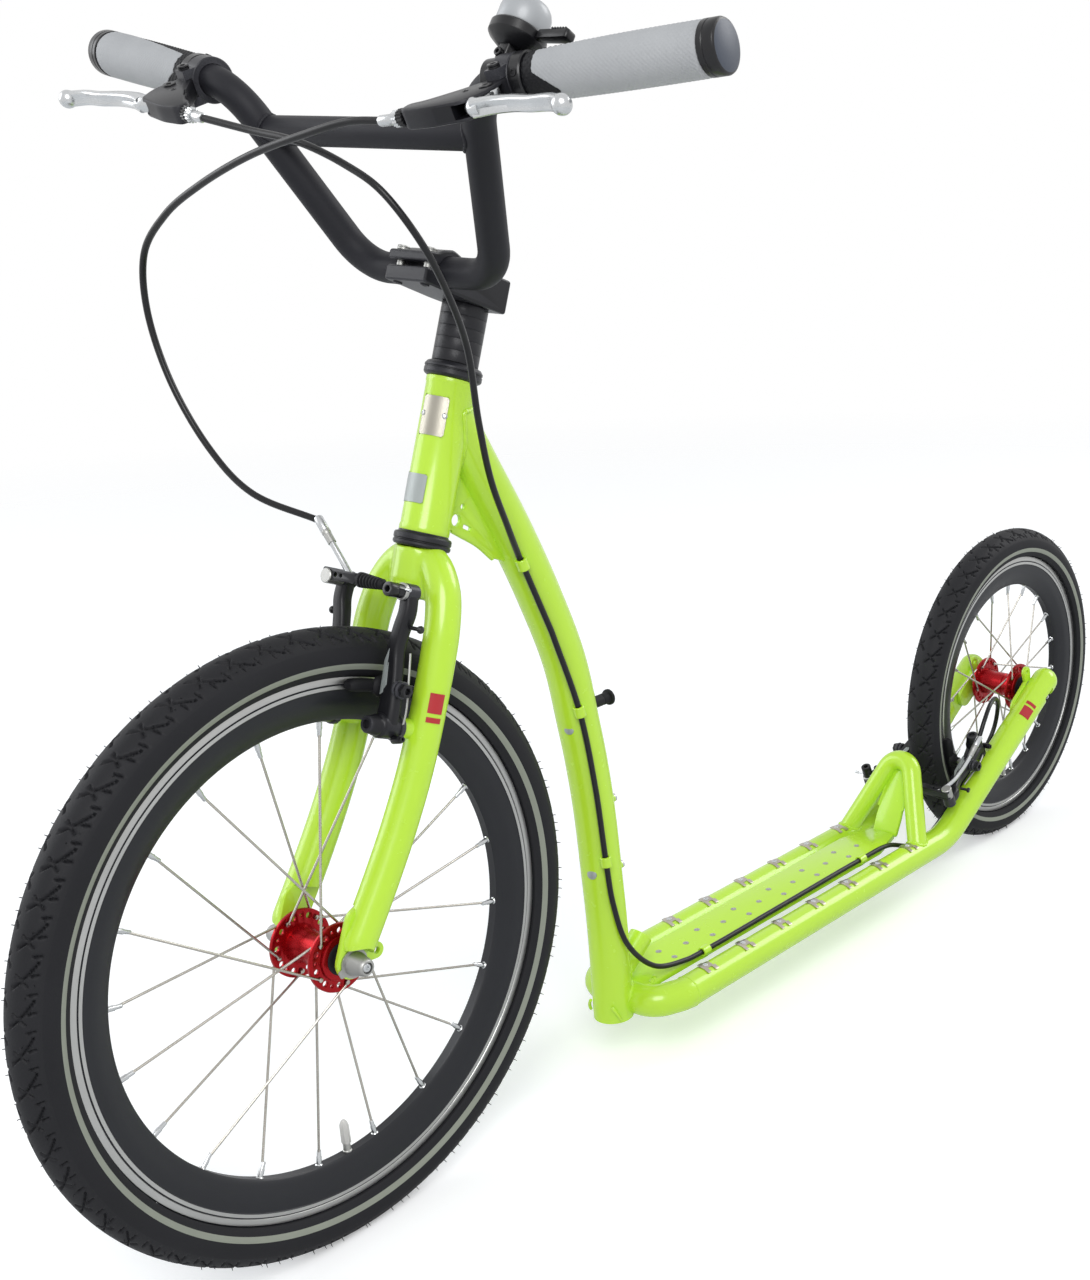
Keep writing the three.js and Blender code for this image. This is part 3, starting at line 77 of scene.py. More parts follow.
BAR_FORWARD, BAR_RADIUS, CLAMP_GAP, CLAMP_THICK = 38, 11.1, 4, 8.5
BAR_LOWER, BAR_UPPER, BAR_REACH, BAR_RISE, BAR_SWEEP, GRIP_RISE = 67, 122, 98.8, 95.4, 19.6, 31.7
LEVER_TILT = math.radians(39.5)
GRIP_LENGTH, END_WIDTH, LOCK_WIDTH, CLAMP_WIDTH = 128, 13, 9, 12
LEVER_REACH, PIVOT_REACH, BLADE_LENGTH, BLADE_REACH = 51, 30, 80, 21
PIVOT_DROP, PIVOT_SPREAD, ARM_OFFSET = 33, 34, 7
DOWN_RADIUS, RAIL_RADIUS, RAIL_SPACING, RAIL_END, RAIL_Z = 18, 15, 46, 49, 65
CROSS_Y, KINK_Y, DECK_TOP, DECK_THICK, DECK_HALF = 320, 785, 80, 6, 27
ARCH_RADIUS = 10.5
CABLE_RADIUS, CABLE_REACH = 2.5, (0.6, 8.6)
DOWN_START, DOWN_REACH, DOWN_END = 92, 127.4, 50
BOSS_HEIGHTS, PEG_HEIGHT = (257, 192), 349
BADGE_TURN, BADGE_ARC = 0.32, math.radians(66)
GUSSET_REACH = 80
CLIP_COUNT, CLIP_START, CLIP_PITCH = 7, 380.9, 55.3
DECK_REAR, EYELET_PITCH = 733, 55.5
FORK_END_TONGUE, FORK_END_TAB = (0, 30), (21, 9)
BOLT_SPREAD, BOLT_OFFSET = 14, 15.6
LOZENGE_COUNT, LOZENGE_PITCH = 15, 3.25
TREAD_PITCH, TREAD_HALF, TREAD_STEPS = 26.0, math.radians(58), 34
RIM_DEPTH, PAD_HALF = 34, 4.5
ARM_PLATES = [
    [(-6.2, 22), (-3.6, 24), (-4.6, 56), (-7.4, 47)], [(-3.0, 27), (-1.2, 30), (-3.2, 46), (-4, 40)],
]
SPOKE_COUNT, SPOKE_CIRCLE, SPOKE_LEAD, FLANGE_PLACE = 20, 22, math.radians(54), 21.5
BELL_WIDTH, BELL_TURN = 10, math.radians(13.5)

# Shares and routes, as the CAD has them.
LEG_SHARES = [
    (0.86, 0, 0.144), (0.977, 0.01, 0.213), (1, 0, 0.28), (1, 0.01, 0.44), (1, 0.08, 0.55),
    (1, 0.26, 0.67), (1, 0.5, 0.78), (1, 0.76, 0.88), (1, 0.97, 0.955),
]
DOWN_SHARES = [
    (0, 0), (0.14, 0.062), (0.41, 0.18), (0.61, 0.281), (0.785, 0.389), (0.87, 0.491),
    (0.917, 0.556), (0.958, 0.64), (0.982, 0.741), (1, 0.84), (1, 1),
]
GUSSET_SHARES = [
    (0.1, -0.01), (0.33, -0.04), (0.426, -0.104), (0.637, -0.247), (0.8175, -0.419),
    (1, -0.5), (0.79, 0.375), (0.29, 0.56),
]
BRACKET_SHARES = [
    (0.11, -0.23), (-0.1, -0.23), (-0.115, -0.31), (-0.42, -0.55), (-0.78, -0.78), (-1.02, -0.83),
    (-1.02, -1.06), (-0.6, -1.12), (-0.06, -1.08), (0.1, -0.82), (0.13, -0.5),
]
FINGER_SHARES = [(0.03, 0.02), (0.2, -0.04), (0.42, 0.1), (0.64, 0.42), (0.84, 0.6), (1, 1)]
FRONT_ROUTE = [
    (64, 62, 820), (20, 58, 811), (-34, 58, 798), (-96, 60, 777), (-142, 62, 756),
    (-180, 66, 727), (-193, 70, 687), (-181, 72, 636), (-148, 74, 588), (-107, 75, 560),
]
LOOP_ROUTE = [
    (-46, 70, 813), (3, 71, 806), (40, 75, 793), (68, 78, 778), (84, 92, 747),
    (75, 122, 705), (62, 145, 668), (50, 160, 616), (42, 174, 570), (29, 199, 527),
]
DOWN_GUIDES = [(17.2, 222, 491), (17.5, 271.5, 355), (19, 288, 213)]
DECK_GUIDES = [(28.6, 400, 83), (28.6, 652, 83)]
REAR_ROUTE = [
    DOWN_GUIDES[0], (17.6, 247, 430), DOWN_GUIDES[1], (18.6, 282, 285), DOWN_GUIDES[2],
    (20, 292, 171), (22.6, 304, 127), (26, 334, 94), (28.6, 372, 84.5), DECK_GUIDES[0],
    (28.6, 526, 83), DECK_GUIDES[1], (28.6, 700, 81), (27.4, 747, 64.5), (25.8, 790, 66),
    (25.8, 850, 100), (25.6, 890, 122), (26, 916, 146), (30, 918, 172), (38, 900, 190),
    (46, 876, 192), (50, 858, 180),
]
FRONT_NOODLE = [(14, 0, 6), (0, -4, 21), (-9, -6, 30)]
REAR_NOODLE = [(10, -1, -2), (3, -2, -16), (2.5, -2, -35), (2.5, -4, -51), (2.5, -10, -71)]

# Places that follow
FRONT_TYRE = FRONT_RIM + FRONT_SEAT + FRONT_SECTION
REAR_TYRE = REAR_RIM + REAR_SEAT + REAR_SECTION
HEAD_Y = AXLE_TO_HEAD * math.sin(LEAN) + FORK_RAKE * math.cos(LEAN)
HEAD_Z = FRONT_TYRE + AXLE_TO_HEAD * math.cos(LEAN) - FORK_RAKE * math.sin(LEAN)
HEAD = Matrix.Translation((0, HEAD_Y, HEAD_Z)) @ Matrix.Rotation(-LEAN, 4, "X")
FRONT_AXLE = Vector((0, -FORK_RAKE, -AXLE_TO_HEAD))
REAR_AXLE = Vector((0, WHEEL_BASE, REAR_TYRE))
SPACER_START = HEAD_LENGTH + CUP_HEIGHT + 2 * FIT
STEM_BOTTOM = SPACER_START + SPACER_COUNT * SPACER_HEIGHT + FIT
STEM_TOP = STEM_BOTTOM + STEM_HEIGHT
BAR_HEIGHT = STEM_TOP - CLAMP_THICK - CLAMP_GAP / 2
CROWN_TOP = -CUP_HEIGHT - 2 * FIT
LEVER_FROM_END = END_WIDTH + GRIP_LENGTH + LOCK_WIDTH + CLAMP_WIDTH / 2 + FIT
BELL_FROM_END = LEVER_FROM_END + (CLAMP_WIDTH + BELL_WIDTH) / 2 + FIT
RAIL_SLOPE = math.atan2(REAR_TYRE - RAIL_Z, WHEEL_BASE - KINK_Y)
RAIL_START = (RAIL_SPACING, 353, RAIL_Z)
BACKWARD = (0, 1, 0)
IDENTITY = Matrix.Identity(4)
FACE_X = Matrix(((0, 0, 1, 0), (1, 0, 0, 0), (0, 1, 0, 0), (0, 0, 0, 1)))
FACE_Y = Matrix(((1, 0, 0, 0), (0, 0, -1, 0), (0, 1, 0, 0), (0, 0, 0, 1)))


# Camera
def make_camera():
    data = bpy.data.cameras.new("camera")
    camera = bpy.data.objects.new("camera", data)
    bpy.context.scene.collection.objects.link(camera)
    forward = Vector(CAMERA_FORWARD).normalized()
    across = forward.cross(Vector(CAMERA_UPWARD).normalized()).normalized()
    upward = across.cross(forward)
    turn = Matrix((across, upward, -forward)).transposed().to_4x4()
    camera.matrix_world = Matrix.Translation(CAMERA_PLACE) @ turn
    data.lens = FOCAL_PIXELS / IMAGE_HIGH * SENSOR_WIDTH
    data.sensor_width = SENSOR_WIDTH
    data.shift_x = (IMAGE_WIDE / 2 - CENTRE_PIXEL[0]) / IMAGE_HIGH
    data.shift_y = (CENTRE_PIXEL[1] - IMAGE_HIGH / 2) / IMAGE_HIGH
    data.clip_start, data.clip_end = 0.05, 100
    bpy.context.scene.camera = camera


make_camera()


# Materials
def linear(color):
    """A colour of 0 to 255 as the linear one that nodes take."""
    def channel(value):
        value = value / 255
        return value / 12.92 if value <= 0.04045 else ((value + 0.055) / 1.055) ** 2.4
    return (*(channel(c) for c in color), 1)


def node(tree, kind, settings=None, *plugs, **values):
    """A new node; its inputs, by place or by name, take sockets or plain values."""
    made = tree.nodes.new("ShaderNode" + kind)
    for key, value in (settings or {}).items():
        setattr(made, key, value)
    named = {key.replace("_", " "): value for key, value in values.items()}
    for key, value in [*enumerate(plugs), *named.items()]:
        if isinstance(value, bpy.types.NodeSocket):
            tree.links.new(value, made.inputs[key])
        else:
            made.inputs[key].default_value = value
    return made


def mixed(tree, factor, color, other):
    mix = node(tree, "Mix", {"data_type": "RGBA"}, Factor=factor, A=color, B=other)
    return mix.outputs["Result"]


def surface(name, color, other, metallic=0.0, rough=(0.3, 0.4), grain=900, bump=0.05,
            patches=14, coat=0.0, stretch=(1, 1, 1), edge_highlight=None, specular=0.5):
    """A finish whose colour drifts in patches, with a fine grain in its gloss and height, and, where a
    colour is given, a painted highlight on its sharp edges.
    """
    material = bpy.data.materials.new(name)
    material.use_nodes = True
    tree = material.node_tree
    shader = tree.nodes["Principled BSDF"]
    place = node(tree, "TexCoord").outputs["Object"]
    scaled = node(tree, "Mapping", Vector=place, Scale=stretch).outputs["Vector"]
    broad = node(tree, "TexNoise", Vector=place, Scale=patches, Detail=4).outputs["Fac"]
    fine = node(tree, "TexNoise", Vector=scaled, Scale=grain, Detail=3).outputs["Fac"]
    shade = mixed(tree, broad, linear(color), linear(other))
    # Painted highlight: convex edges, found by pointiness, are mixed towards a lighter colour
    if edge_highlight:
        point = node(tree, "NewGeometry").outputs["Pointiness"]
        edge = node(tree, "MapRange", Value=point, From_Min=0.53, From_Max=0.6).outputs["Result"]
        highlight_share = node(tree, "Math", {"operation": "MULTIPLY"}, edge, fine).outputs["Value"]
        shade = mixed(tree, highlight_share, shade, linear(edge_highlight))
    gloss = node(tree, "MapRange", Value=fine, To_Min=rough[0], To_Max=rough[1]).outputs["Result"]
    height = node(tree, "Bump", Strength=bump, Distance=0.0004, Height=fine).outputs["Normal"]
    tree.links.new(shade, shader.inputs["Base Color"])
    tree.links.new(gloss, shader.inputs["Roughness"])
    tree.links.new(height, shader.inputs["Normal"])
    shader.inputs["Metallic"].default_value = metallic
    shader.inputs["Specular IOR Level"].default_value = specular
    shader.inputs["Coat Weight"].default_value = coat
    shader.inputs["Coat Roughness"].default_value = 0.08
    return material


PAINT = surface("frame_paint", (190, 231, 58), (181, 223, 50), 0, (0.24, 0.29), 120, 0.012, 9, 0.3)
# The black alloy's sharp edges get a painted highlight of bluish grey
BLACK = surface("black_alloy", (20, 20, 23), (27, 27, 31), 0.15, (0.32, 0.46), 1400, 0.08, 30, 0.05,
                edge_highlight=(84, 84, 90), specular=0.3)
BAR = surface("black_bar", (27, 27, 32), (34, 34, 39), 0.05, (0.5, 0.62), 2200, 0.12, 18, specular=0.25)
SILVER = surface("silver", (205, 207, 208), (186, 188, 190), 1, (0.2, 0.32), 1500, 0.05, 40)
SATIN = surface("satin_silver", (176, 176, 172), (158, 158, 156), 0.9, (0.38, 0.5), 2400, 0.1, 50)
SPOKE = surface("spoke_steel", (196, 192, 184), (164, 160, 152), 1, (0.2, 0.34), 1200, 0.04, 60)
BRUSHED = surface("brushed_steel", (176, 172, 160), (152, 148, 138), 1, (0.28, 0.45), 900, 0.14, 26,
                  stretch=(1, 1, 9))
CLIP = surface("clip_steel", (196, 190, 178), (156, 148, 138), 1, (0.24, 0.42), 1300, 0.08, 90,
               stretch=(5, 1, 1))
BRAKE_BAND = surface("brake_band", (188, 188, 186), (166, 166, 164), 0.9, (0.3, 0.42), 2600, 0.1, 20)
RED = surface("red_anodised", (170, 14, 24), (146, 10, 20), 0.75, (0.22, 0.32), 1300, 0.05, 50)
TYRE = surface("tyre", (27, 27, 30), (34, 34, 37), 0, (0.6, 0.78), 1500, 0.2, 22, specular=0.2)
TREAD = surface("tread", (24, 24, 27), (33, 33, 36), 0, (0.5, 0.72), 1100, 0.25, 26, specular=0.22)
STRIPE = surface("tyre_stripe", (140, 144, 131), (126, 130, 118), 0, (0.4, 0.55), 1600, 0.1, 40)
RIM_BLACK = surface("rim_black", (30, 31, 36), (24, 25, 29), 0.1, (0.36, 0.48), 1700, 0.06, 16, 0.08,
                    specular=0.3)
GRIP = surface("grip_grey", (176, 177, 178), (162, 163, 165), 0, (0.66, 0.82), 1800, 0.25, 40)
RUBBER = surface("black_rubber", (20, 20, 22), (27, 27, 30), 0, (0.5, 0.68), 1600, 0.2, 40, specular=0.2)
PLASTIC = surface("black_plastic", (17, 17, 19), (23, 23, 26), 0, (0.26, 0.38), 1500, 0.06, 40, 0.06,
                  specular=0.35)
BELL = surface("bell_shell", (172, 174, 176), (160, 162, 164), 0.1, (0.36, 0.46), 1400, 0.05, 30, 0.1)
CAP = surface("cap_grey", (66, 72, 84), (56, 62, 74), 0.05, (0.4, 0.52), 1700, 0.1, 40)
CABLE = surface("cable_black", (15, 15, 17), (22, 22, 25), 0, (0.3, 0.42), 1300, 0.06, 60, 0.05,
                specular=0.3)
PALE = surface("pale_plate", (168, 174, 172), (156, 162, 160), 0.3, (0.35, 0.48), 1600, 0.08, 30)
DECAL = surface("red_mark", (182, 22, 32), (168, 16, 26), 0, (0.3, 0.4), 1200, 0.05, 40, 0.3)
CLEAR = surface("valve_cap", (206, 204, 200), (184, 182, 178), 0.1, (0.2, 0.3), 1200, 0.05, 60, 0.4)


# Places and paths
def vectors(places):
    return [Vector(p) for p in places]


def resampled(points, count):
    """The same line in even steps."""
    gaps = [0.0]
    for a, b in zip(points, points[1:]):
        gaps.append(gaps[-1] + (b - a).length)
    found, k = [], 0
    for i in range(count + 1):
        want = gaps[-1] * i / count
        while k < len(gaps) - 2 and gaps[k + 1] < want:
            k += 1
        share = (want - gaps[k]) / max(gaps[k + 1] - gaps[k], 1e-9)
        found.append(points[k].lerp(points[k + 1], min(max(share, 0), 1)))
    return found


def spline(places, count):
    """A centripetal curve through places, in even steps."""
    points = vectors(places)
    points = [2 * points[0] - points[1], *points, 2 * points[-1] - points[-2]]
    fine = []
    for p0, p1, p2, p3 in zip(points, points[1:], points[2:], points[3:]):
        t1 = (p1 - p0).length ** 0.5
        t2 = t1 + (p2 - p1).length ** 0.5
        t3 = t2 + (p3 - p2).length ** 0.5
        for i in range(24):
            t = t1 + (t2 - t1) * i / 24
            a1 = p0 * ((t1 - t) / t1) + p1 * (t / t1)
            a2 = p1 * ((t2 - t) / (t2 - t1)) + p2 * ((t - t1) / (t2 - t1))
            a3 = p2 * ((t3 - t) / (t3 - t2)) + p3 * ((t - t2) / (t3 - t2))
            b1 = a1 * ((t2 - t) / t2) + a2 * (t / t2)
            b2 = a2 * ((t3 - t) / (t3 - t1)) + a3 * ((t - t1) / (t3 - t1))
            fine.append(b1 * ((t2 - t) / (t2 - t1)) + b2 * ((t - t1) / (t2 - t1)))
    fine.append(points[-2])
    return resampled(fine, count)


def rounded(corners, radius, steps=8):
    """A polyline whose inner corners are arcs."""
    corners = vectors(corners)
    points = [corners[0]]
    for before, here, after in zip(corners, corners[1:], corners[2:]):
        back = (before - here).normalized()
        onward = (after - here).normalized()
        half = back.angle(onward) / 2
        centre = here + (back + onward).normalized() * (radius / math.sin(half))
        start = here + back * (radius / math.tan(half)) - centre
        end = here + onward * (radius / math.tan(half)) - centre
        axis, turn = start.cross(end).normalized(), start.angle(end)
        for k in range(steps + 1):
            points.append(centre + Matrix.Rotation(turn * k / steps, 3, axis) @ start)
    points.append(corners[-1])
    return points


def mirror(points):
    return [Vector((-p.x, p.y, p.z)) for p in points]


def circle(radius, sides, start=0.0, centre=(0, 0)):
    turns = [start + math.tau * k / sides for k in range(sides)]
    return [(centre[0] + radius * math.cos(t), centre[1] + radius * math.sin(t)) for t in turns]


def mirrored_profile(upper):
    """A lathe profile from its part above height 0, with the mirror of that below."""
    return [(radius, -height) for radius, height in reversed(upper)] + upper


def drum(inner, outer, half, edge=0.5, rise=None):
    """A short round body's profile; its outer edges are broken by edge across and rise along."""
    rise = edge if rise is None else rise
    return mirrored_profile([(outer, half - rise), (outer - edge, half), (inner, half)])


def soft(outline, radius, steps=4):
    """An outline's corners rounded off, each as far as its sides allow."""
    found = []
    count = len(outline)
    for k in range(count):
        before, here, after = (Vector(outline[(k + d) % count]) for d in (-1, 0, 1))
        back, onward = before - here, after - here
        cut = min(radius, back.length * 0.45, onward.length * 0.45)
        a, b = here + back.normalized() * cut, here + onward.normalized() * cut
        for i in range(steps + 1):
            t = i / steps
            found.append(tuple(a * (1 - t) ** 2 + here * 2 * t * (1 - t) + b * t * t))
    return found


def inset(outline, distance):
    """An outline moved inwards by a distance."""
    count = len(outline)
    following = [*outline[1:], outline[0]]
    sign = 1 if sum(a[0] * b[1] - b[0] * a[1] for a, b in zip(outline, following)) > 0 else -1
    found = []
    for k in range(count):
        before, here, after = (Vector(outline[(k + d) % count]) for d in (-1, 0, 1))
        a, b = (here - before).normalized(), (after - here).normalized()
        normal = Vector((-a.y - b.y, a.x + b.x))
        normal = normal.normalized() * sign if normal.length > 1e-9 else Vector((0, 0))
        found.append(tuple(here + normal * distance))
    return found


def turned_to(place, way, side=None):
    """A frame at a place whose Z looks along way."""
    z = Vector(way).normalized()
    x = Vector(side) if side else (Vector((1, 0, 0)) if abs(z.x) < 0.9 else Vector((0, 1, 0)))
    y = z.cross(x).normalized()
    x = y.cross(z)
    turn = Matrix((x, y, z)).transposed().to_4x4()
    return Matrix.Translation(Vector(place)) @ turn


# Shapes
class Shape:
    """Faces gathered in millimetres, each with its material's number."""

    def __init__(self):
        self.points, self.faces, self.marks = [], [], []

    def take(self, points, faces, marks, at=IDENTITY):
        base = len(self.points)
        self.points.extend(at @ Vector(p) for p in points)
        self.faces.extend(tuple(base + i for i in face) for face in faces)
        self.marks.extend(marks if isinstance(marks, list) else [marks] * len(faces))
        return self

    def merge(self, other, at=IDENTITY):
        return self.take(other.points, other.faces, list(other.marks), at)

    def rings(self, rings, mark=0, caps=True, loop=False, at=IDENTITY):
        """Faces between rings of points; a ring of one point closes to a tip."""
        points, faces, marks, starts = [], [], [], []
        for ring in rings:
            starts.append(len(points))
            points.extend(ring)
        pairs = list(zip(range(len(rings)), range(1, len(rings))))
        if loop:
            pairs.append((len(rings) - 1, 0))
        for index, (r, s) in enumerate(pairs):
            m, n = len(rings[r]), len(rings[s])
            for k in range(max(m, n)):
                a, b = starts[r] + k % m, starts[r] + (k + 1) % m
                c, d = starts[s] + (k + 1) % n, starts[s] + k % n
                faces.append(tuple(dict.fromkeys((a, b, c, d))))
                marks.append(mark[index] if isinstance(mark, list) else mark)
        if caps and not loop:
            for ring, start, way in ((rings[0], starts[0], -1), (rings[-1], starts[-1], 1)):
                if len(ring) > 2:
                    faces.append(tuple(start + k for k in range(len(ring)))[::way])
                    marks.append(mark[0] if isinstance(mark, list) else mark)
        return self.take(points, faces, marks, at)

    def sweep(self, path, radius, sides=24, mark=0, caps=True, loop=False, at=IDENTITY):
        """A tube along a path; radius is a number or one for each point."""
        path = vectors(path)
        count = len(path)
        radii = radius if isinstance(radius, list) else [radius] * count
        ways = []
        for k in range(count):
            before = path[(k - 1) % count] if loop or k else path[0]
            after = path[(k + 1) % count] if loop or k < count - 1 else path[-1]
            ways.append((after - before).normalized())
        first = ways[0]
        x = Vector((1, 0, 0)) if abs(first.x) < 0.8 else Vector((0, 0, 1))
        x = (x - first * x.dot(first)).normalized()
        rings = []
        for k in range(count):
            if k:
                x = ways[k - 1].rotation_difference(ways[k]) @ x
                x = (x - ways[k] * x.dot(ways[k])).normalized()
            y = ways[k].cross(x)
            rings.append([
                path[k] + (x * math.cos(t) + y * math.sin(t)) * radii[k]
                for t in (math.tau * i / sides for i in range(sides))
            ])
        return self.rings(rings, mark, caps, loop, at)

    def lathe(self, profile, sides=48, mark=0, at=IDENTITY, loop=False):
        """A body turned about Z from (radius, height) places."""
        rings = [
            [(0, 0, h)] if r < 1e-6 else [(x, y, h) for x, y in circle(r, sides)]
            for r, h in profile
        ]
        return self.rings(rings, mark, not loop, loop, at)

    def rod(self, a, b, radius, sides=24, mark=0, end=None, bevel=0.4, at=IDENTITY):
        """A straight round bar with its edges broken."""
        a, b = Vector(a), Vector(b)
        end = radius if end is None else end
        long = (b - a).length
        edge = min(bevel, radius * 0.4, end * 0.4, long * 0.3)
        profile = [
            (0, 0), (radius - edge, 0), (radius - edge * 0.3, edge * 0.3), (radius, edge),
            (end, long - edge), (end - edge * 0.3, long - edge * 0.3), (end - edge, long), (0, long),
        ]
        return self.lathe(profile, sides, mark, at @ turned_to(a, b - a))

    def prism(self, outline, low, high, at=IDENTITY, bevel=0.6, mark=0):
        """A plate from an outline, its edges rounded."""
        lean, less, step = inset(outline, bevel * 0.3), inset(outline, bevel), bevel * 0.3
        levels = (
            (less, low), (lean, low + step), (outline, low + bevel),
            (outline, high - bevel), (lean, high - step), (less, high),
        )
        rings = [[(x, y, z) for x, y in shape] for shape, z in levels]
        return self.rings(rings, mark, True, False, at)

    def pierced(self, outline, holes, low, high, at=IDENTITY, bevel=0.4, mark=0):
        """A plate with holes, by a filled curve."""
        data = bpy.data.curves.new("plate", "CURVE")
        data.dimensions, data.fill_mode = "2D", "BOTH"
        data.extrude = (high - low) / 2 - bevel
        data.bevel_depth, data.bevel_resolution, data.offset = bevel, 1, -bevel
        for shape in (outline, *holes):
            line = data.splines.new("POLY")
            line.points.add(len(shape) - 1)
            for point, (x, y) in zip(line.points, shape):
                point.co = (x, y, 0, 1)
            line.use_cyclic_u = True
        holder = bpy.data.objects.new("plate", data)
        mesh = bpy.data.meshes.new_from_object(holder)
        work = bmesh.new()
        work.from_mesh(mesh)
        bmesh.ops.remove_doubles(work, verts=work.verts, dist=0.001)
        middle = Vector((0, 0, (low + high) / 2))
        points = [v.co + middle for v in work.verts]
        faces = [tuple(v.index for v in f.verts) for f in work.faces]
        work.free()
        bpy.data.objects.remove(holder)
        bpy.data.curves.remove(data)
        bpy.data.meshes.remove(mesh)
        return self.take(points, faces, mark, at)

    def knurled(self, rows, flutes, mark=0, at=IDENTITY, fineness=6):
        """A body turned about Z from (height, radius, ridge) rows, with flutes round it."""
        turns = [math.tau * i / (flutes * fineness) for i in range(flutes * fineness)]
        rings = []
        for height, radius, ridge in rows:
            reach = [radius + ridge * math.cos(flutes * t) for t in turns]
            rings.append([(r * math.cos(t), r * math.sin(t), height) for t, r in zip(turns, reach)])
        return self.rings(rings, mark, True, False, at)

    def ball(self, centre, radius, sides=24, mark=0, at=IDENTITY):
        steps = [math.pi * k / (sides // 2) for k in range(sides // 2 + 1)]
        profile = [(radius * math.sin(t), -radius * math.cos(t)) for t in steps]
        return self.lathe(profile, sides, mark, at @ Matrix.Translation(Vector(centre)))

    def bolt(self, place, way, radius, height, socket, mark=0, at=IDENTITY, sides=28):
        """A screw's head with a hexagon socket."""
        head_at = at @ turned_to(place, way)
        floor = height * 0.45
        self.lathe([(0, 0), (radius, 0), (radius, floor), (0, floor)], sides, mark, head_at)
        rim, bevel = circle(radius, sides), min(0.5, radius * 0.12)
        return self.pierced(rim, [circle(socket, 6)], floor, height, head_at, bevel, mark)

    def mesh(self, name="shape"):
        data = bpy.data.meshes.new(name)
        data.from_pydata([tuple(p) for p in self.points], [], self.faces)
        data.polygons.foreach_set("material_index", self.marks)
        work = bmesh.new()
        work.from_mesh(data)
        bmesh.ops.remove_doubles(work, verts=work.verts, dist=0.0005)
        bmesh.ops.recalc_face_normals(work, faces=work.faces)
        work.to_mesh(data)
        work.free()
        return data

    def worked(self, *changes):
        """The shape after Blender modifiers, each a kind and its settings."""
        holder = bpy.data.objects.new("work", self.mesh())
        bpy.context.scene.collection.objects.link(holder)
        for kind, settings in changes:
            modifier = holder.modifiers.new(kind, kind)
            for key, value in settings.items():
                setattr(modifier, key, value)
        bpy.context.view_layer.update()
        shown = holder.evaluated_get(bpy.context.evaluated_depsgraph_get())
        mesh = bpy.data.meshes.new_from_object(shown)
        result = Shape().take(
            [v.co.copy() for v in mesh.vertices],
            [tuple(p.vertices) for p in mesh.polygons],
            [p.material_index for p in mesh.polygons],
        )
        bpy.data.objects.remove(holder)
        bpy.data.meshes.remove(mesh)
        return result

    def without(self, *tools):
        """The shape with the tools' room cut away."""
        result = self
        for tool in tools:
            cutter = bpy.data.objects.new("cutter", tool.mesh("cutter"))
            bpy.context.scene.collection.objects.link(cutter)
            settings = {"operation": "DIFFERENCE", "object": cutter, "solver": "EXACT"}
            result = result.worked(("BOOLEAN", settings))
            bpy.data.objects.remove(cutter)
        return result

    def piece(self, name, materials, body, slot, replaces=(), sharp=32):
        data = self.mesh(name)
        if not isinstance(materials, (list, tuple)):
            materials = [materials]
        for material in materials:
            data.materials.append(material)
        shift = Matrix.Scale(MM, 4) @ Matrix.Translation((0, -Y_SHIFT, 0))
        data.transform(shift)
        data.polygons.foreach_set("use_smooth", [True] * len(data.polygons))
        data.set_sharp_from_angle(angle=math.radians(sharp))
        piece = bpy.data.objects.new(name, data)
        bpy.context.scene.collection.objects.link(piece)
        if body:
            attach(piece, body)
        if replaces:
            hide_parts(*replaces)
        return piece


def box_shape(corner, opposite, at=IDENTITY):
    """A box between two opposite corners."""
    (x0, x1), (y0, y1), (z0, z1) = (sorted(pair) for pair in zip(corner, opposite))
    around = [(x0, y0), (x1, y0), (x1, y1), (x0, y1)]
    return Shape().rings([[(x, y, z) for x, y in around] for z in (z0, z1)], 0, True, False, at)


def side_name(side):
    return "left" if side > 0 else "right"


def distance_to(path, point):
    """How far a point is from a polyline."""
    best = 1e9
    for a, b in zip(path, path[1:]):
        along = b - a
        share = (point - a).dot(along) / max(along.length_squared, 1e-9)
        best = min(best, (a + along * min(max(share, 0), 1) - point).length)
    return best


def weld(shape, start, way, radius, path, parent, bead=1.9, at=IDENTITY, reach=60):
    """A rippled weld bead where a round branch meets a tube about a path."""
    place, forward = turned_to(start, way), Vector(way).normalized()
    pace, line = 1.5, []
    for x, y in circle(radius, max(40, int(math.tau * radius / 0.8))):
        corner = place @ Vector((x, y, 0))

        def inside(step):
            return distance_to(path, corner + forward * step) < parent

        steps = (pace * k for k in range(math.ceil(reach / pace)))
        high = next((step for step in steps if inside(step)), None)
        if high is None:
            continue
        low = max(high - pace, 0)
        for _ in range(10):
            middle = (low + high) / 2
            low, high = (low, middle) if inside(middle) else (middle, high)
        line.append(corner + forward * high)
    ripples, count = len(line) // 4, len(line)
    radii = [bead * (1 + 0.13 * math.sin(math.tau * ripples * k / count)) for k in range(count)]
    return shape.sweep(line, radii, 10, 0, False, True, at)


# The frame
down_top = HEAD @ Vector((0, 0, DOWN_START))
down_path = spline([
    (0, down_top.y + reach * DOWN_REACH, down_top.z - fall * (down_top.z - DOWN_END))
    for reach, fall in DOWN_SHARES
], 90)
head_axis = [HEAD @ Vector((0, 0, -5)), HEAD @ Vector((0, 0, HEAD_LENGTH + 5))]
cross_corners = vectors([
    RAIL_START, (RAIL_SPACING, CROSS_Y + 27, RAIL_Z), (RAIL_SPACING - 12, CROSS_Y, RAIL_Z),
])
cross_path = rounded([*cross_corners, *reversed(mirror(cross_corners))], 20, 8)


def rail_path(side, overshoot=16):
    """A rail's centre line, from the cross tube to just past the rear axle."""
    end_y = WHEEL_BASE + overshoot * math.cos(RAIL_SLOPE)
    end = (RAIL_END, end_y, REAR_TYRE + overshoot * math.sin(RAIL_SLOPE))
    points = rounded([RAIL_START, (RAIL_SPACING, KINK_Y, RAIL_Z), end], 80, 14)
    return points if side > 0 else mirror(points)


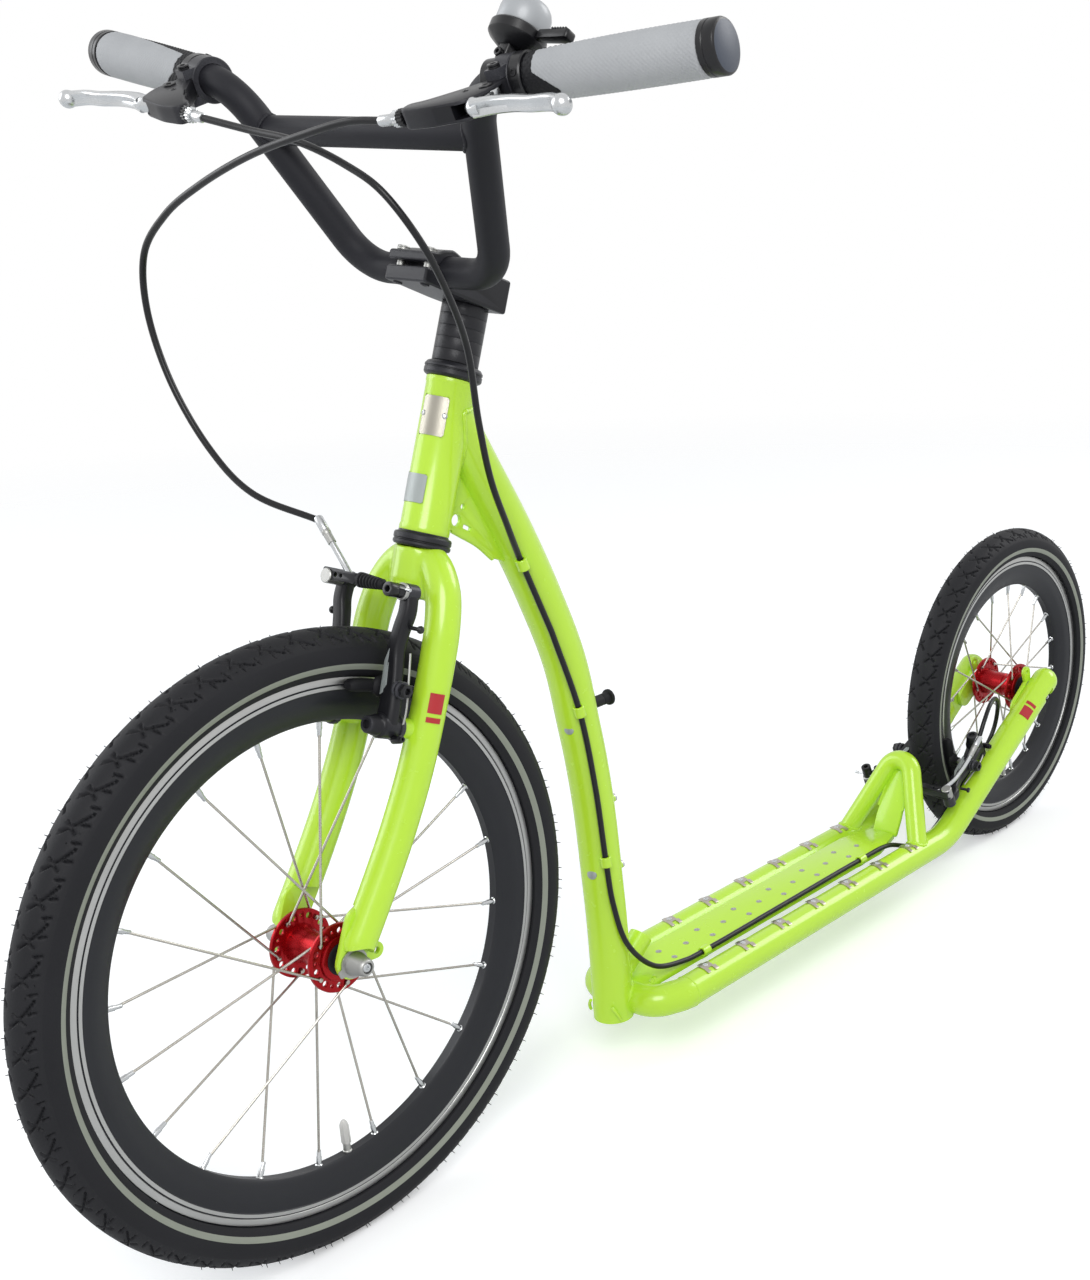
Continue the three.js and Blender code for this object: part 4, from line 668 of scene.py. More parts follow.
def down_y(height):
    """Where the down tube's centre line is at a height."""
    for a, b in zip(down_path, down_path[1:]):
        if a.z >= height >= b.z:
            return a.y + (b.y - a.y) * (a.z - height) / (a.z - b.z)
    return down_path[-1].y


def sleeve(shape, place, way):
    """A cable guide: an open ring with rounded lips."""
    shape.lathe(drum(CABLE_RADIUS + 0.5, CABLE_RADIUS + 2.3, 4.75), 28, 0, turned_to(place, way), True)


def badge(name, material, low, high, turn):
    """A thin blank plate bent round the head tube, between two heights."""
    def on_head(out, across, up):
        angle, radius = turn + across * BADGE_ARC * 0.5, HEAD_RADIUS + out
        height = low + up * (high - low)
        return HEAD @ Vector((radius * math.sin(angle), -radius * math.cos(angle), height))

    outline = soft([(-1, 0), (1, 0), (1, 1), (-1, 1)], 0.14, 5)
    shape = Shape().rings([[on_head(out, u, v) for u, v in outline] for out in (0.05, 0.65)], 0, False)
    strips = 14
    points, faces = [], []
    for i in range(strips + 1):
        edge = 0.02 if 0 < i < strips else 0.07
        points += [on_head(0.66, -0.985 + 1.97 * i / strips, up) for up in (edge, 0.5, 1 - edge)]
    for i in range(strips):
        for j in (3 * i, 3 * i + 1):
            faces.append((j, j + 3, j + 4, j + 1))
    shape.take(points, faces, 0)
    shape.piece(name, material, "frame", "silver")


def build_head():
    collar = [(15.5, 0), (18.3, 0), (18.5, 0.5), (18.5, 3.5), (HEAD_RADIUS, 5)]
    profile = collar + [(radius, HEAD_LENGTH - height) for radius, height in reversed(collar)]
    Shape().lathe(profile, 64, 0, HEAD, True).piece(
        "head_tube_skin", PAINT, "frame", "frame_paint", ["head_tube"])
    badge("head_badge_plate", BRUSHED, 70, 100, BADGE_TURN)
    badge("head_lower_plate", PALE, 20, 42, 0.0)
    rivets = Shape()
    for turn in (BADGE_TURN + BADGE_ARC * 0.42, BADGE_TURN - BADGE_ARC * 0.42):
        way = Vector((math.sin(turn), -math.cos(turn), 0))
        place = Vector((0, 0, 86)) + way * (HEAD_RADIUS + 0.5)
        profile = [(0, 0), (2.1, 0), (2.1, 0.4), (1.5, 0.9), (0.8, 1.0), (0.7, 0.6), (0, 0.6)]
        rivets.lathe(profile, 20, 0, HEAD @ turned_to(place, way))
    rivets.piece("head_badge_rivets", SILVER, "frame", "silver")


def build_down_tube():
    shape = Shape().sweep(down_path, DOWN_RADIUS, 48)
    foot = down_path[-1]

    # The open oblique stub at the foot, with its weld
    tilt = math.radians(38)
    way = Vector((0, math.cos(tilt), math.sin(tilt)))
    start = Vector((0, foot.y, 94 - math.tan(tilt) * DOWN_RADIUS))
    outer, inner, lip, end = 11, 9, 0.4, DOWN_RADIUS + 36
    stub = [
        (0, 10), (outer, 10), (outer, end - lip), (outer - lip, end), (inner + lip, end), (inner, end - lip),
        (inner, 24), (0, 24),
    ]
    shape.lathe(stub, 40, 0, turned_to(start, way))
    weld(shape, start + way * 50, -way, outer, down_path, DOWN_RADIUS, 1.6)

    for height in BOSS_HEIGHTS:
        y = down_y(height)
        shape.rod((0, y, height), (0, y + 24, height), 4, 24, 0, None, 0.8)
        collar_at = turned_to((0, y + DOWN_RADIUS - 0.6, height), BACKWARD)
        shape.lathe([(4, 0), (5.4, 0), (4.4, 1.2), (4, 2.2)], 24, 0, collar_at)
    for index, place in enumerate(DOWN_GUIDES):
        before, after = Vector(DOWN_GUIDES[max(index - 1, 0)]), Vector(DOWN_GUIDES[min(index + 1, 2)])
        sleeve(shape, place, after - before)

    # The welds at the head tube and on the cross tube
    up_way = (down_path[0] - down_path[6]).normalized()
    weld(shape, down_path[9], up_way, DOWN_RADIUS, head_axis, HEAD_RADIUS, 1.7)
    weld(shape, foot + Vector((0, 0, 50)), (0, 0, -1), DOWN_RADIUS, cross_path, RAIL_RADIUS, 2.1)
    for side in (-1, 1):
        seam = []
        for t in (0.1 * k for k in range(9)):
            x, y = side * DOWN_RADIUS * math.cos(t) * 1.02, foot.y - 10 - 7 * math.sin(t)
            seam.append((x, y, RAIL_Z - 10 + 16 * t))
        shape.sweep(seam, 1.5, 8)
    shape.piece("down_tube_skin", PAINT, "frame", "frame_paint", ["down_tube"])

    caps = Shape()
    way = Vector((0.30, -1, 0.16)).normalized()
    for height in (334.3, 195.9):
        place = Vector((0, down_y(height), height)) + way * (DOWN_RADIUS - 0.4)
        caps.lathe([(0, 0), (4.6, 0), (4.4, 0.7), (3.2, 1.3), (0, 1.5)], 28, 0, turned_to(place, way))
    caps.piece("down_tube_caps", PALE, "frame", "cap_grey")
    screws = Shape()
    for height in BOSS_HEIGHTS:
        screws.bolt((0, down_y(height) + 23.6, height), BACKWARD, 3.6, 2.6, 1.7)
    screws.piece("boss_screws", SILVER, "frame", "silver")

    peg = Shape()
    y = down_y(PEG_HEIGHT)
    pin = [
        (0, 14), (5, 14), (5, 30), (4.6, 31), (5, 32), (5, 38.2), (6.6, 38.8), (7, 39.8), (7, 41),
        (6, 42), (3.6, 42), (3.2, 41.2), (0, 41.2),
    ]
    peg.lathe(pin, 32, 0, turned_to((0, y, PEG_HEIGHT), BACKWARD))
    collar_at = turned_to((0, y + DOWN_RADIUS - 1, PEG_HEIGHT), BACKWARD)
    peg.lathe([(5, 0), (8, 0), (7.6, 1.4), (6, 2.6), (5, 3)], 32, 0, collar_at)
    peg.piece("peg_skin", RUBBER, "frame", "black_rubber", ["peg"])


def build_gusset():
    """The plate under the down tube, with two plain holes and a slot."""
    def placed(share, rise):
        return share * GUSSET_REACH, rise * GUSSET_REACH

    start, end = Vector(placed(0.47, -0.026)), Vector(placed(0.56, -0.081))
    along = (end - start).normalized()
    wide = Vector((-along.y, along.x)) * 1.6
    corners = [tuple(start + wide), tuple(end + wide), tuple(end - wide), tuple(start - wide)]
    holes = [
        circle(4.5, 32, 0, placed(0.39, 0.045)), circle(2.2, 20, 0, placed(0.49, 0.154)),
        soft(corners, 0.8, 2),
    ]
    outline = soft([placed(a, b) for a, b in GUSSET_SHARES], 3, 3)
    face = Matrix.Translation((0, HEAD_Y, HEAD_Z)) @ FACE_X
    shape = Shape().pierced(outline, holes, -2, 2, face, 0.7)
    lower = [(0, HEAD_Y + a * GUSSET_REACH, HEAD_Z + b * GUSSET_REACH) for a, b in GUSSET_SHARES[1:5]]
    shape.sweep(spline(lower, 30), 2.1, 12)
    shape.piece("gusset_skin", PAINT, "frame", "frame_paint", ["gusset"])


def clip_shape(side, y):
    """A stainless clip bent over the rail: a tail, a riveted plate and two prongs."""
    outline = [
        (-12.5, 0.5), (-6, -3), (-4, -7), (3.5, -7.6), (9.5, -8), (9.5, -3.8), (4.6, -3.6), (4.6, 2.2),
        (10, 2.4), (10, 6.8), (4.4, 7), (4.4, 4.6), (-0.5, 5.4), (-2.5, 7), (-5.5, 6.2), (-6.5, 3.2),
    ]
    work = bmesh.new()
    work.faces.new([work.verts.new((u, v, 0)) for u, v in soft(outline, 0.5, 2)])
    for cut in range(-11, 11, 2):
        parts = [*work.verts, *work.edges, *work.faces]
        bmesh.ops.bisect_plane(work, geom=parts, plane_co=(cut, 0, 0), plane_no=(1, 0, 0))
    made = bmesh.ops.extrude_face_region(work, geom=list(work.faces))
    for item in made["geom"]:
        if isinstance(item, bmesh.types.BMVert):
            item.co.z = 0.9
    points = []
    for v in work.verts:
        u, along, height = v.co
        radius = RAIL_RADIUS + 0.1 + height + (0.5 if abs(u) > 8.5 else 0)
        angle = u / (RAIL_RADIUS + 0.5)
        x = side * RAIL_SPACING + radius * math.sin(angle)
        points.append((x, y + along, RAIL_Z + radius * math.cos(angle)))
    work.verts.index_update()
    shape = Shape().take(points, [tuple(v.index for v in f.verts) for f in work.faces], 0)
    work.free()
    rivet = [(0, 0), (2.9, 0), (2.7, 0.6), (1.9, 1.1), (1.3, 1.15), (1.1, 0.5), (0, 0.5)]
    spot = turned_to((side * RAIL_SPACING - 0.6, y - 0.8, RAIL_Z + RAIL_RADIUS + 0.8), (0, 0, 1))
    return shape.lathe(rivet, 22, 1, spot)


def bent_mark(name, body, at, radius, turns, spans):
    """A plain red mark of bars that lie round a tube along Z."""
    mark = Shape()
    first, last = turns
    for low, high in spans:
        points = []
        for k in range(9):
            turn = first + (last - first) * k / 8
            points += [(radius * math.cos(turn), radius * math.sin(turn), z) for z in (low, high)]
        mark.take(points, [(2 * k, 2 * k + 1, 2 * k + 3, 2 * k + 2) for k in range(8)], 0, at)
    mark = mark.worked(("SOLIDIFY", {"thickness": 0.9, "offset": 0}))
    mark.piece(name, DECAL, body, "frame_paint")


def build_rail(side):
    name = side_name(side)
    path = rail_path(side)
    end, way = path[-1], (path[-1] - path[-2]).normalized()
    turns = [math.pi / 2 * k / 7 for k in range(1, 8)]
    dome = [end + way * (RAIL_RADIUS * math.sin(t)) for t in turns]
    straight = [path[0] + (path[1] - path[0]) * (k / 20) for k in range(20)]
    radii = [RAIL_RADIUS] * (len(path) + 19) + [max(RAIL_RADIUS * math.cos(t), 0.3) for t in turns]
    tube = Shape().sweep([*straight, *path[1:], *dome], radii, 48)
    face = side * (DROPOUT_INNER + DROPOUT_THICK + FIT)
    room = box_shape((0, WHEEL_BASE - 48, REAR_TYRE - 48), (face, WHEEL_BASE + 48, REAR_TYRE + 48))
    pocket_at = turned_to((side * 38, WHEEL_BASE, REAR_TYRE), (side, 0, 0))
    pocket = Shape().lathe([(0, -2), (11, -2), (11, 18), (0, 18)], 40, 0, pocket_at)
    slot_at = Matrix.Translation(REAR_AXLE) @ Matrix.Rotation(RAIL_SLOPE, 4, "X")
    slot = box_shape((face, -9, -34), (face + side * 34, 9, 0), slot_at)
    shape = tube.without(room, pocket, slot)
    boss_at = rear_brake_frame() @ turned_to((-side * PIVOT_SPREAD, 0, REAR_RIM - PIVOT_DROP), BACKWARD)
    shape.lathe([(7, -3), (7, 16), (8.4, 19), (9.6, 24), (0, 24)], 32, 0, boss_at)
    shape.piece(f"rail_{name}_skin", PAINT, "frame", "frame_paint", [f"rail_{name}"])

    spans = ((-64, -50), (-47, -43))
    mark_at = turned_to(end, way, (side, 0, 0))
    bent_mark(f"rail_mark_{name}", "frame", mark_at, RAIL_RADIUS, (-1.25 * side, -0.4 * side), spans)
    clips = Shape()
    for k in range(CLIP_COUNT):
        clips.merge(clip_shape(side, CLIP_START + CLIP_PITCH * k))
    clips.piece(f"grip_clips_{name}", [CLIP, SILVER], "frame", "steel")
    back = Vector((-math.cos(RAIL_SLOPE), -math.sin(RAIL_SLOPE))) * 28
    build_dropout(
        f"dropout_{name}_skin", Matrix.Translation(REAR_AXLE), back, (-5.4, 21.6), side, "frame",
        [f"dropout_{name}"],
    )


def hull(circles):
    """The convex outline round circles given as (x, y, radius)."""
    points = [Vector(p) for x, y, radius in circles for p in circle(radius, 40, 0, (x, y))]
    points.sort(key=lambda p: (p.x, p.y))
    found = []
    for line in (points, points[::-1]):
        chain = []
        for p in line:
            while len(chain) > 1 and (chain[-1] - chain[-2]).cross(p - chain[-1]) <= 1e-9:
                chain.pop()
            chain.append(p)
        found.extend(chain[:-1])
    return [tuple(p) for p in found]


def build_dropout(name, at, tongue, tab, side, body, replaces):
    """A plate for the axle's end, with a tongue into the tube and an eyelet."""
    low, high = sorted((side * DROPOUT_INNER, side * (DROPOUT_INNER + DROPOUT_THICK)))
    middle = (low + high) / 2
    plate = hull([(0, 0, DROPOUT_RADIUS), (tongue[0], tongue[1], DROPOUT_RADIUS - 1)])
    ear = hull([(tab[0], tab[1], 6.5), (tab[0] * 0.35, tab[1] * 0.35, 5)])
    shape = Shape().pierced(plate, [circle(5.3, 28)], low, high, at @ FACE_X, 0.8)
    shape.pierced(ear, [circle(2.6, 24, 0, tab)], middle - 2.2, middle + 2.2, at @ FACE_X, 0.7)
    shape.piece(name, PAINT, body, "frame_paint", replaces)


def rear_brake_frame():
    """The rear brake's own frame, with Z from the axle forward and dipping below level."""
    dip = math.radians(22)
    turn = Matrix.Rotation(math.pi / 2 + dip, 4, "X") @ Matrix.Rotation(math.pi, 4, "Z")
    return Matrix.Translation(REAR_AXLE) @ turn


def build_deck():
    cross = Shape().sweep(cross_path, RAIL_RADIUS, 48)
    turns = [math.tau * k / 60 for k in range(60)]
    for side in (1, -1):
        middle = Vector((side * RAIL_SPACING, *RAIL_START[1:]))
        ring = [middle + Vector((math.cos(t), 0, math.sin(t))) * 14.4 for t in turns]
        cross.sweep(ring, [1.1 * (1 + 0.12 * math.sin(15 * t)) for t in turns], 8, 0, False, True)
    cross.piece("cross_tube_skin", PAINT, "frame", "frame_paint", ["cross_tube"])

    low = DECK_TOP - DECK_THICK
    outline = [
        (-DECK_HALF, CROSS_Y), (DECK_HALF, CROSS_Y), (DECK_HALF, 690), (15, DECK_REAR), (-15, DECK_REAR),
        (-DECK_HALF, 690),
    ]
    plate = Shape().prism(soft(outline, 3, 4), low, DECK_TOP, IDENTITY, 1.2)
    for place in DECK_GUIDES:
        start, end = place[1] - 4.6, place[1] + 4.6
        sleeve(plate, place, BACKWARD)
        plate.merge(box_shape((DECK_HALF - 3, start, low + 1), (DECK_HALF + 1, end, DECK_TOP)))

    # Weld seams where the plate's edges lie on the cross tube
    plate.sweep([(x, CROSS_Y + 14.6 + 0.5 * math.sin(x), DECK_TOP - 1.2) for x in range(-26, 27)], 1.3, 8)
    for side in (1, -1):
        seam = []
        for t in (k / 20 for k in range(21)):
            x, y = side * 25 * (1 - t * t * 0.2), CROSS_Y + 8 + 10 * t
            seam.append((x, y, DECK_TOP - 1 + 1.2 * math.sin(9 * t)))
        plate.sweep(seam, 2.2, 8)
    plate.piece("deck_skin", PAINT, "frame", "frame_paint", ["deck_plate"])

    rivets = Shape()
    eyelet = [(0, 0), (2.9, 0), (2.75, 0.5), (2.0, 0.75), (1.5, 0.55), (1.3, 0.15), (0, 0.15)]
    for row in (-1, 0, 1):
        for k in range(6):
            y = 378 + EYELET_PITCH * (k + (0.5 if row == 0 else 0))
            rivets.lathe(eyelet, 22, 0, Matrix.Translation((row * 9.8, y, DECK_TOP - 0.05)))
    rivets.piece("deck_rivets", SATIN, "frame", "silver")


def build_arch():
    foot, peak = Vector((RAIL_SPACING, 731, 72)), Vector((0, 782, 176))
    path = rounded([foot, peak, *mirror([foot])], 17, 12)
    shape = Shape().sweep(resampled(path, 90), ARCH_RADIUS, 40)
    for side in (1, -1):
        base, start = (Vector((side * p.x, p.y, p.z)) for p in (foot, foot.lerp(peak, 0.45)))
        weld(shape, start, (base - start).normalized(), ARCH_RADIUS, rail_path(side), RAIL_RADIUS, 1.6)
    shape.piece("arch_skin", PAINT, "frame", "frame_paint", ["arch"])

    lean = Matrix.Rotation(-math.atan2(peak.y - foot.y, peak.z - foot.z), 4, "X")
    flap_at = Matrix.Translation((0, DECK_REAR + 2.5, DECK_TOP - DECK_THICK)) @ lean @ FACE_Y
    outline = [(-15, 0), (15, 0), (15.5, 22), (13.5, 62), (6, 84), (-6, 84), (-13.5, 62), (-15.5, 22)]
    flap = Shape().prism(soft(outline, 4, 4), -2.5, 2.5, flap_at, 1.2)
    for side in (1, -1):
        seam = [flap_at @ Vector((side * (16 - 0.14 * k), 30 + k, 1.5)) for k in range(44)]
        flap.sweep(seam, 1.4, 8)
    flap.piece("deck_flap_skin", PAINT, "frame", "frame_paint", ["deck_flap"])


build_head()
build_down_tube()
build_gusset()
for side in (1, -1):
    build_rail(side)
build_deck()
build_arch()


# Fork and headset
def build_fork():
    """The welded fork in one skin: neck, web and legs run smoothly into each other."""
    neck = [
        (0, -44), (CROWN_RADIUS - 2, -44), (CROWN_RADIUS, -38), (CROWN_RADIUS, CROWN_TOP), (0, CROWN_TOP),
    ]
    web = [(-27, -49), (27, -49), (25, -34), (14, -22), (-14, -22), (-25, -34)]
    whole = Shape().lathe(neck, 56).prism(soft(web, 3, 3), -8, 8, FACE_Y, 2)
    radii = [LEG_RADIUS * (0.92 + 0.08 * min(k / 8, 1)) for k in range(71)]
    axle = Matrix.Translation(FRONT_AXLE)
    tools = []
    for side in (1, -1):
        places = [(side * 9, 0, -17), (side * 19, 0, -23), (side * 27, 0, -33)]
        places += [(side * a * LEG_SPREAD, -b * FORK_RAKE, -c * AXLE_TO_HEAD) for a, b, c in LEG_SHARES]
        path = spline(places, 70)
        whole.sweep(path, radii, 40).ball(path[-1], LEG_RADIUS, 32)
        face, far = side * (DROPOUT_INNER + 0.8), side * (DROPOUT_INNER + DROPOUT_THICK - 0.8)
        nut_at = axle @ turned_to((far, 0, 0), (side, 0, 0))
        tools.append(box_shape((0, -45, -30), (face, 45, 42), axle))
        tools.append(Shape().lathe([(0, 0), (15, 0), (12, 40), (0, 40)], 40, 0, nut_at))
    smoothed = whole.worked(
        ("REMESH", {"mode": "VOXEL", "voxel_size": 1.7}),
        ("SMOOTH", {"factor": 0.5, "iterations": 9}),
    )
    skin = Shape().merge(smoothed.without(*tools), HEAD)
    for side in (1, -1):
        boss = FRONT_AXLE + Vector((side * PIVOT_SPREAD, 0, FRONT_RIM - PIVOT_DROP))
        profile = [(7.4, 3), (7.4, 14), (8.6, 16), (10.5, 21), (0, 21)]
        skin.lathe(profile, 32, 0, HEAD @ turned_to(boss, BACKWARD))
        build_dropout(
            f"fork_end_{side_name(side)}", HEAD @ axle, FORK_END_TONGUE, FORK_END_TAB, side, "steering", [])
    replaced = ["fork_crown", "fork_leg_left", "fork_leg_right"]
    skin.piece("fork_skin", PAINT, "steering", "frame_paint", replaced, 50)
    leg = HEAD @ Matrix.Translation((LEG_SPREAD, -0.1, -0.39 * AXLE_TO_HEAD))
    bent_mark("fork_mark", "steering", leg, LEG_RADIUS, (-0.8, 0.05), ((-11, -7), (-4, 11)))


def build_headset():
    lower = [
        (15.6, -0.2), (18.2, -0.2), (18.6, -1.2), (20.4, -1.8), (CUP_RADIUS, -3), (CUP_RADIUS, -6.2),
        (20.6, -6.8), (20.6, -7.4), (CUP_RADIUS, -8), (CUP_RADIUS, -9.6), (20.2, -11), (18, -11.4),
        (15.6, -11.4),
    ]
    upper = [
        (15.6, 0.3), (18.6, 0.3), (20.4, 1.4), (CUP_RADIUS, 2.6), (CUP_RADIUS, 5.6), (20.7, 6),
        (20.7, 6.6), (CUP_RADIUS, 7), (CUP_RADIUS, 8.4), (19.6, 10.6), (17.6, 11.5), (15.6, 11.5),
    ]
    for name, profile, start in (("lower", lower, 0), ("upper", upper, HEAD_LENGTH)):
        cup = Shape().lathe([(radius, start + height) for radius, height in profile], 64, 0, HEAD, True)
        cup.piece(f"headset_{name}_skin", BLACK, "frame", "black_alloy", [f"headset_{name}_cup"])
    profile = [(15.2, SPACER_START)]
    for k in range(SPACER_COUNT):
        low, high = SPACER_START + k * SPACER_HEIGHT, SPACER_START + (k + 1) * SPACER_HEIGHT
        profile += [
            (16.75, low), (16.93, low + 0.1), (SPACER_RADIUS, low + 0.3), (SPACER_RADIUS, high - 0.3),
            (16.93, high - 0.1), (16.75, high),
        ]
    profile.append((15.2, SPACER_START + SPACER_COUNT * SPACER_HEIGHT))
    spacers = Shape().lathe(profile, 64, 0, HEAD, True)
    spacers.piece("spacers_skin", BLACK, "steering", "black_alloy", ["headset_spacers"])


# Stem and bar
def build_stem():
    front = -BAR_FORWARD - STEM_FRONT
    base_top, plate_low = BAR_HEIGHT - CLAMP_GAP / 2, BAR_HEIGHT + CLAMP_GAP / 2
    room = BAR_RADIUS + 0.25
    across = turned_to((0, -BAR_FORWARD, BAR_HEIGHT), (1, 0, 0))
    bar_room = Shape().lathe([(0, -40), (room, -40), (room, 40), (0, 40)], 56, 0, across)
    profile = [
        (STEM_REAR, STEM_BOTTOM), (-STEM_BLOCK, STEM_BOTTOM), (front, STEM_BOTTOM + 1.5), (front, base_top),
        (-STEM_BLOCK - 0.5, base_top), (-STEM_BLOCK, STEM_TOP), (STEM_REAR, STEM_TOP),
    ]
    block = Shape().prism(soft(profile, 2.5, 4), -STEM_HALF, STEM_HALF, FACE_X, 1.4).without(bar_room)
    body = Shape().merge(block, HEAD)
    for x in (-BOLT_SPREAD, BOLT_SPREAD):
        body.bolt((x, -BAR_FORWARD - BOLT_OFFSET, STEM_BOTTOM + 1.2), (0, 0, -1), 3.3, 0.9, 1.7, 0, HEAD)
    top = [(0, -1), (15, -1), (15, 0.9), (14, 1.5), (5, 1.5), (4.4, 0.6), (0, 0.6)]
    body.lathe([(radius, STEM_TOP + height) for radius, height in top], 48, 0, HEAD)
    body.piece("stem_skin", BLACK, "steering", "black_alloy", ["stem_body"], 20)

    hump = [
        (front, plate_low), (front, STEM_TOP - 1.5), (-BAR_FORWARD - 13, STEM_TOP),
        (-BAR_FORWARD - 8.5, BAR_HEIGHT + 13.4), (-BAR_FORWARD, BAR_HEIGHT + 16),
        (-BAR_FORWARD + 8.5, BAR_HEIGHT + 13.4), (-BAR_FORWARD + 13, STEM_TOP),
        (-STEM_BLOCK - 1.2, STEM_TOP - 0.6), (-STEM_BLOCK - 1.2, plate_low),
    ]
    plate = Shape().prism(soft(hump, 2.4, 4), -STEM_HALF, STEM_HALF, FACE_X, 1.4).without(bar_room)
    clamp = Shape().merge(plate, HEAD)
    clamp.piece("clamp_plate_skin", BLACK, "steering", "black_alloy", ["stem_clamp_plate"], 20)
    bolts = Shape()
    for x in (-BOLT_SPREAD, BOLT_SPREAD):
        for y in (-BAR_FORWARD - BOLT_OFFSET, -BAR_FORWARD + BOLT_OFFSET):
            bolts.bolt((x, y, STEM_TOP - 0.8), (0, 0, 1), 4.4, 3, 2.3, 0, HEAD)
            bolts.rod((x, y, base_top - 1), (x, y, plate_low + 1), 3, 20, 0, None, 0.2, HEAD)
    bolts.piece("clamp_bolts", SATIN, "steering", "silver")


lower_corner = Vector((BAR_LOWER, -BAR_FORWARD, BAR_HEIGHT))
upper_corner = Vector((BAR_UPPER, -BAR_FORWARD - BAR_REACH, BAR_HEIGHT + BAR_RISE))
bar_end = Vector((BAR_HALF, upper_corner.y + BAR_SWEEP, upper_corner.z + GRIP_RISE))
grip_axis = (bar_end - upper_corner).normalized()


def on_grip(from_end):
    """A place on the left grip's axis, so far in from the bar's end."""
    return bar_end - grip_axis * from_end


def grip_frame(side, from_end):
    """X out along the grip, Y back and Z up at the lever's tilt; mirrored for the right."""
    rise = (Vector((0, 0, 1)) - grip_axis * grip_axis.z).normalized()
    rise = Matrix.Rotation(LEVER_TILT, 3, grip_axis) @ rise
    turn = Matrix((grip_axis, rise.cross(grip_axis), rise)).transposed().to_4x4()
    flip = Matrix.Scale(side, 4, (1, 0, 0)) if side < 0 else IDENTITY
    return HEAD @ flip @ Matrix.Translation(on_grip(from_end)) @ turn


ALONG_X = Matrix(((0, 0, 1, 0), (0, 1, 0, 0), (-1, 0, 0, 0), (0, 0, 0, 1)))


def bar_path():
    """The bar's centre line from end to end."""
    centre = Vector((0, lower_corner.y, lower_corner.z))
    lower = rounded([centre, lower_corner, upper_corner], 36, 14)
    upper = rounded([lower[-2], upper_corner, on_grip(END_WIDTH / 2)], 42, 14)
    half = [*lower[:-1], *upper[1:]]
    return [*reversed(mirror(half)), *half[1:]]


def build_bar():
    skin = Shape().sweep(resampled(bar_path(), 260), BAR_RADIUS, 40, 0, True, False, HEAD)
    skin.piece("handlebar_skin", BAR, "steering", "black_bar", ["handlebar"])
    joint = lower_corner.lerp(upper_corner, 0.76)
    middle, radius = Vector((0, joint.y, joint.z)), 10.2
    bar = Shape().rod((-joint.x, joint.y, joint.z), joint, radius, 40, 0, None, 0.3, HEAD)
    for side in (1, -1):
        line = [lower_corner, upper_corner] if side > 0 else mirror([lower_corner, upper_corner])
        weld(bar, middle, (side, 0, 0), radius, line, BAR_RADIUS, 1.5, HEAD, 130)
    bar.piece("crossbar_skin", BAR, "steering", "black_bar", ["handlebar_crossbar"])


def in_insert(angle, share):
    """True where the grip's dark insert lies: a collar with a long tongue on top and a short one below."""
    reach = 0.07
    for middle, half, length in ((2.5, 0.72, 0.82), (5.2, 0.9, 0.13)):
        turn = abs((angle - middle + math.pi) % math.tau - math.pi)
        reach += length * max(0, 1 - (turn / half) ** 1.3)
    return share < reach


def grip_lump(angle, z, share):
    """The height of the grip's texture: fine in the insert, lozenges elsewhere."""
    if in_insert(angle, share):
        return max(0, math.cos(angle * 22) * math.cos(z * 1.55) - 0.1) * 0.5 - 0.25
    a, b = LOZENGE_COUNT * angle, math.pi * z / LOZENGE_PITCH
    return 0.42 * (abs(math.sin(a + b)) * abs(math.sin(a - b))) ** 0.5


def build_grip(side):
    name, at = side_name(side), grip_frame(side, 0) @ ALONG_X
    outer, inner = -END_WIDTH, -END_WIDTH - GRIP_LENGTH
    sides, steps = 180, 220
    rings = []
    for k in range(steps + 1):
        share = k / steps
        z = inner + FIT + (GRIP_LENGTH - 2 * FIT) * share
        base = 15 + 1.2 * share + 0.5 * math.sin(math.pi * share)
        base -= 0.9 * max(0, 1 - share / 0.02) + 0.9 * max(0, (share - 0.98) / 0.02)
        turns = [math.tau * i / sides for i in range(sides)]
        reach = [base + grip_lump(t, z, share) for t in turns]
        rings.append([(r * math.cos(t), r * math.sin(t), z) for t, r in zip(turns, reach)])
    shape = Shape().rings(rings, 0, True, False, at)
    for index in range(steps * sides):
        k, i = divmod(index, sides)
        shape.marks[index] = int(in_insert(math.tau * (i + 0.5) / sides, (k + 0.5) / steps))
    shape.piece(f"grip_{name}_skin", [GRIP, RUBBER], "steering", "grip_grey", [f"grip_{name}"], 60)

    start = inner - LOCK_WIDTH
    lock = Shape().lathe([
        (11.6, start), (15, start), (16, start + 1), (16, inner - 1), (15.2, inner), (11.6, inner),
    ], 56, 0, at, True)
    for turn in (2.4, 4.2):
        way = Vector((math.cos(turn), math.sin(turn), 0))
        spot = at @ turned_to(way * 16 + Vector((0, 0, inner - LOCK_WIDTH / 2)), way)
        lock.bolt((0, 0, -0.9), (0, 0, 1), 2.6, 1.5, 1.3, 0, spot, 20)
    lock.piece(f"grip_lock_{name}", PLASTIC, "steering", "black_alloy", [f"grip_lock_ring_{name}"])

    end = Shape().lathe([
        (0, 0), (12.6, 0), (13.2, -0.3), (14.8, -0.5), (16, -1.2), (16.6, -2.4), (16.6, outer + 5),
        (16.1, outer + 4.4), (16.6, outer + 3.8), (16.6, outer + 0.6), (16, outer), (11.4, outer),
        (11.4, -END_WIDTH / 2 + FIT), (0, -END_WIDTH / 2 + FIT),
    ], 56, 0, at)
    for index, face in enumerate(end.faces):
        middle = at.inverted() @ (sum((end.points[i] for i in face), Vector()) / len(face))
        end.marks[index] = int(math.hypot(middle.x, middle.y) < 14 and middle.z > -1)
    end.piece(f"grip_end_{name}", [PLASTIC, CAP], "steering", "cap_grey", [f"grip_end_ring_{name}"])


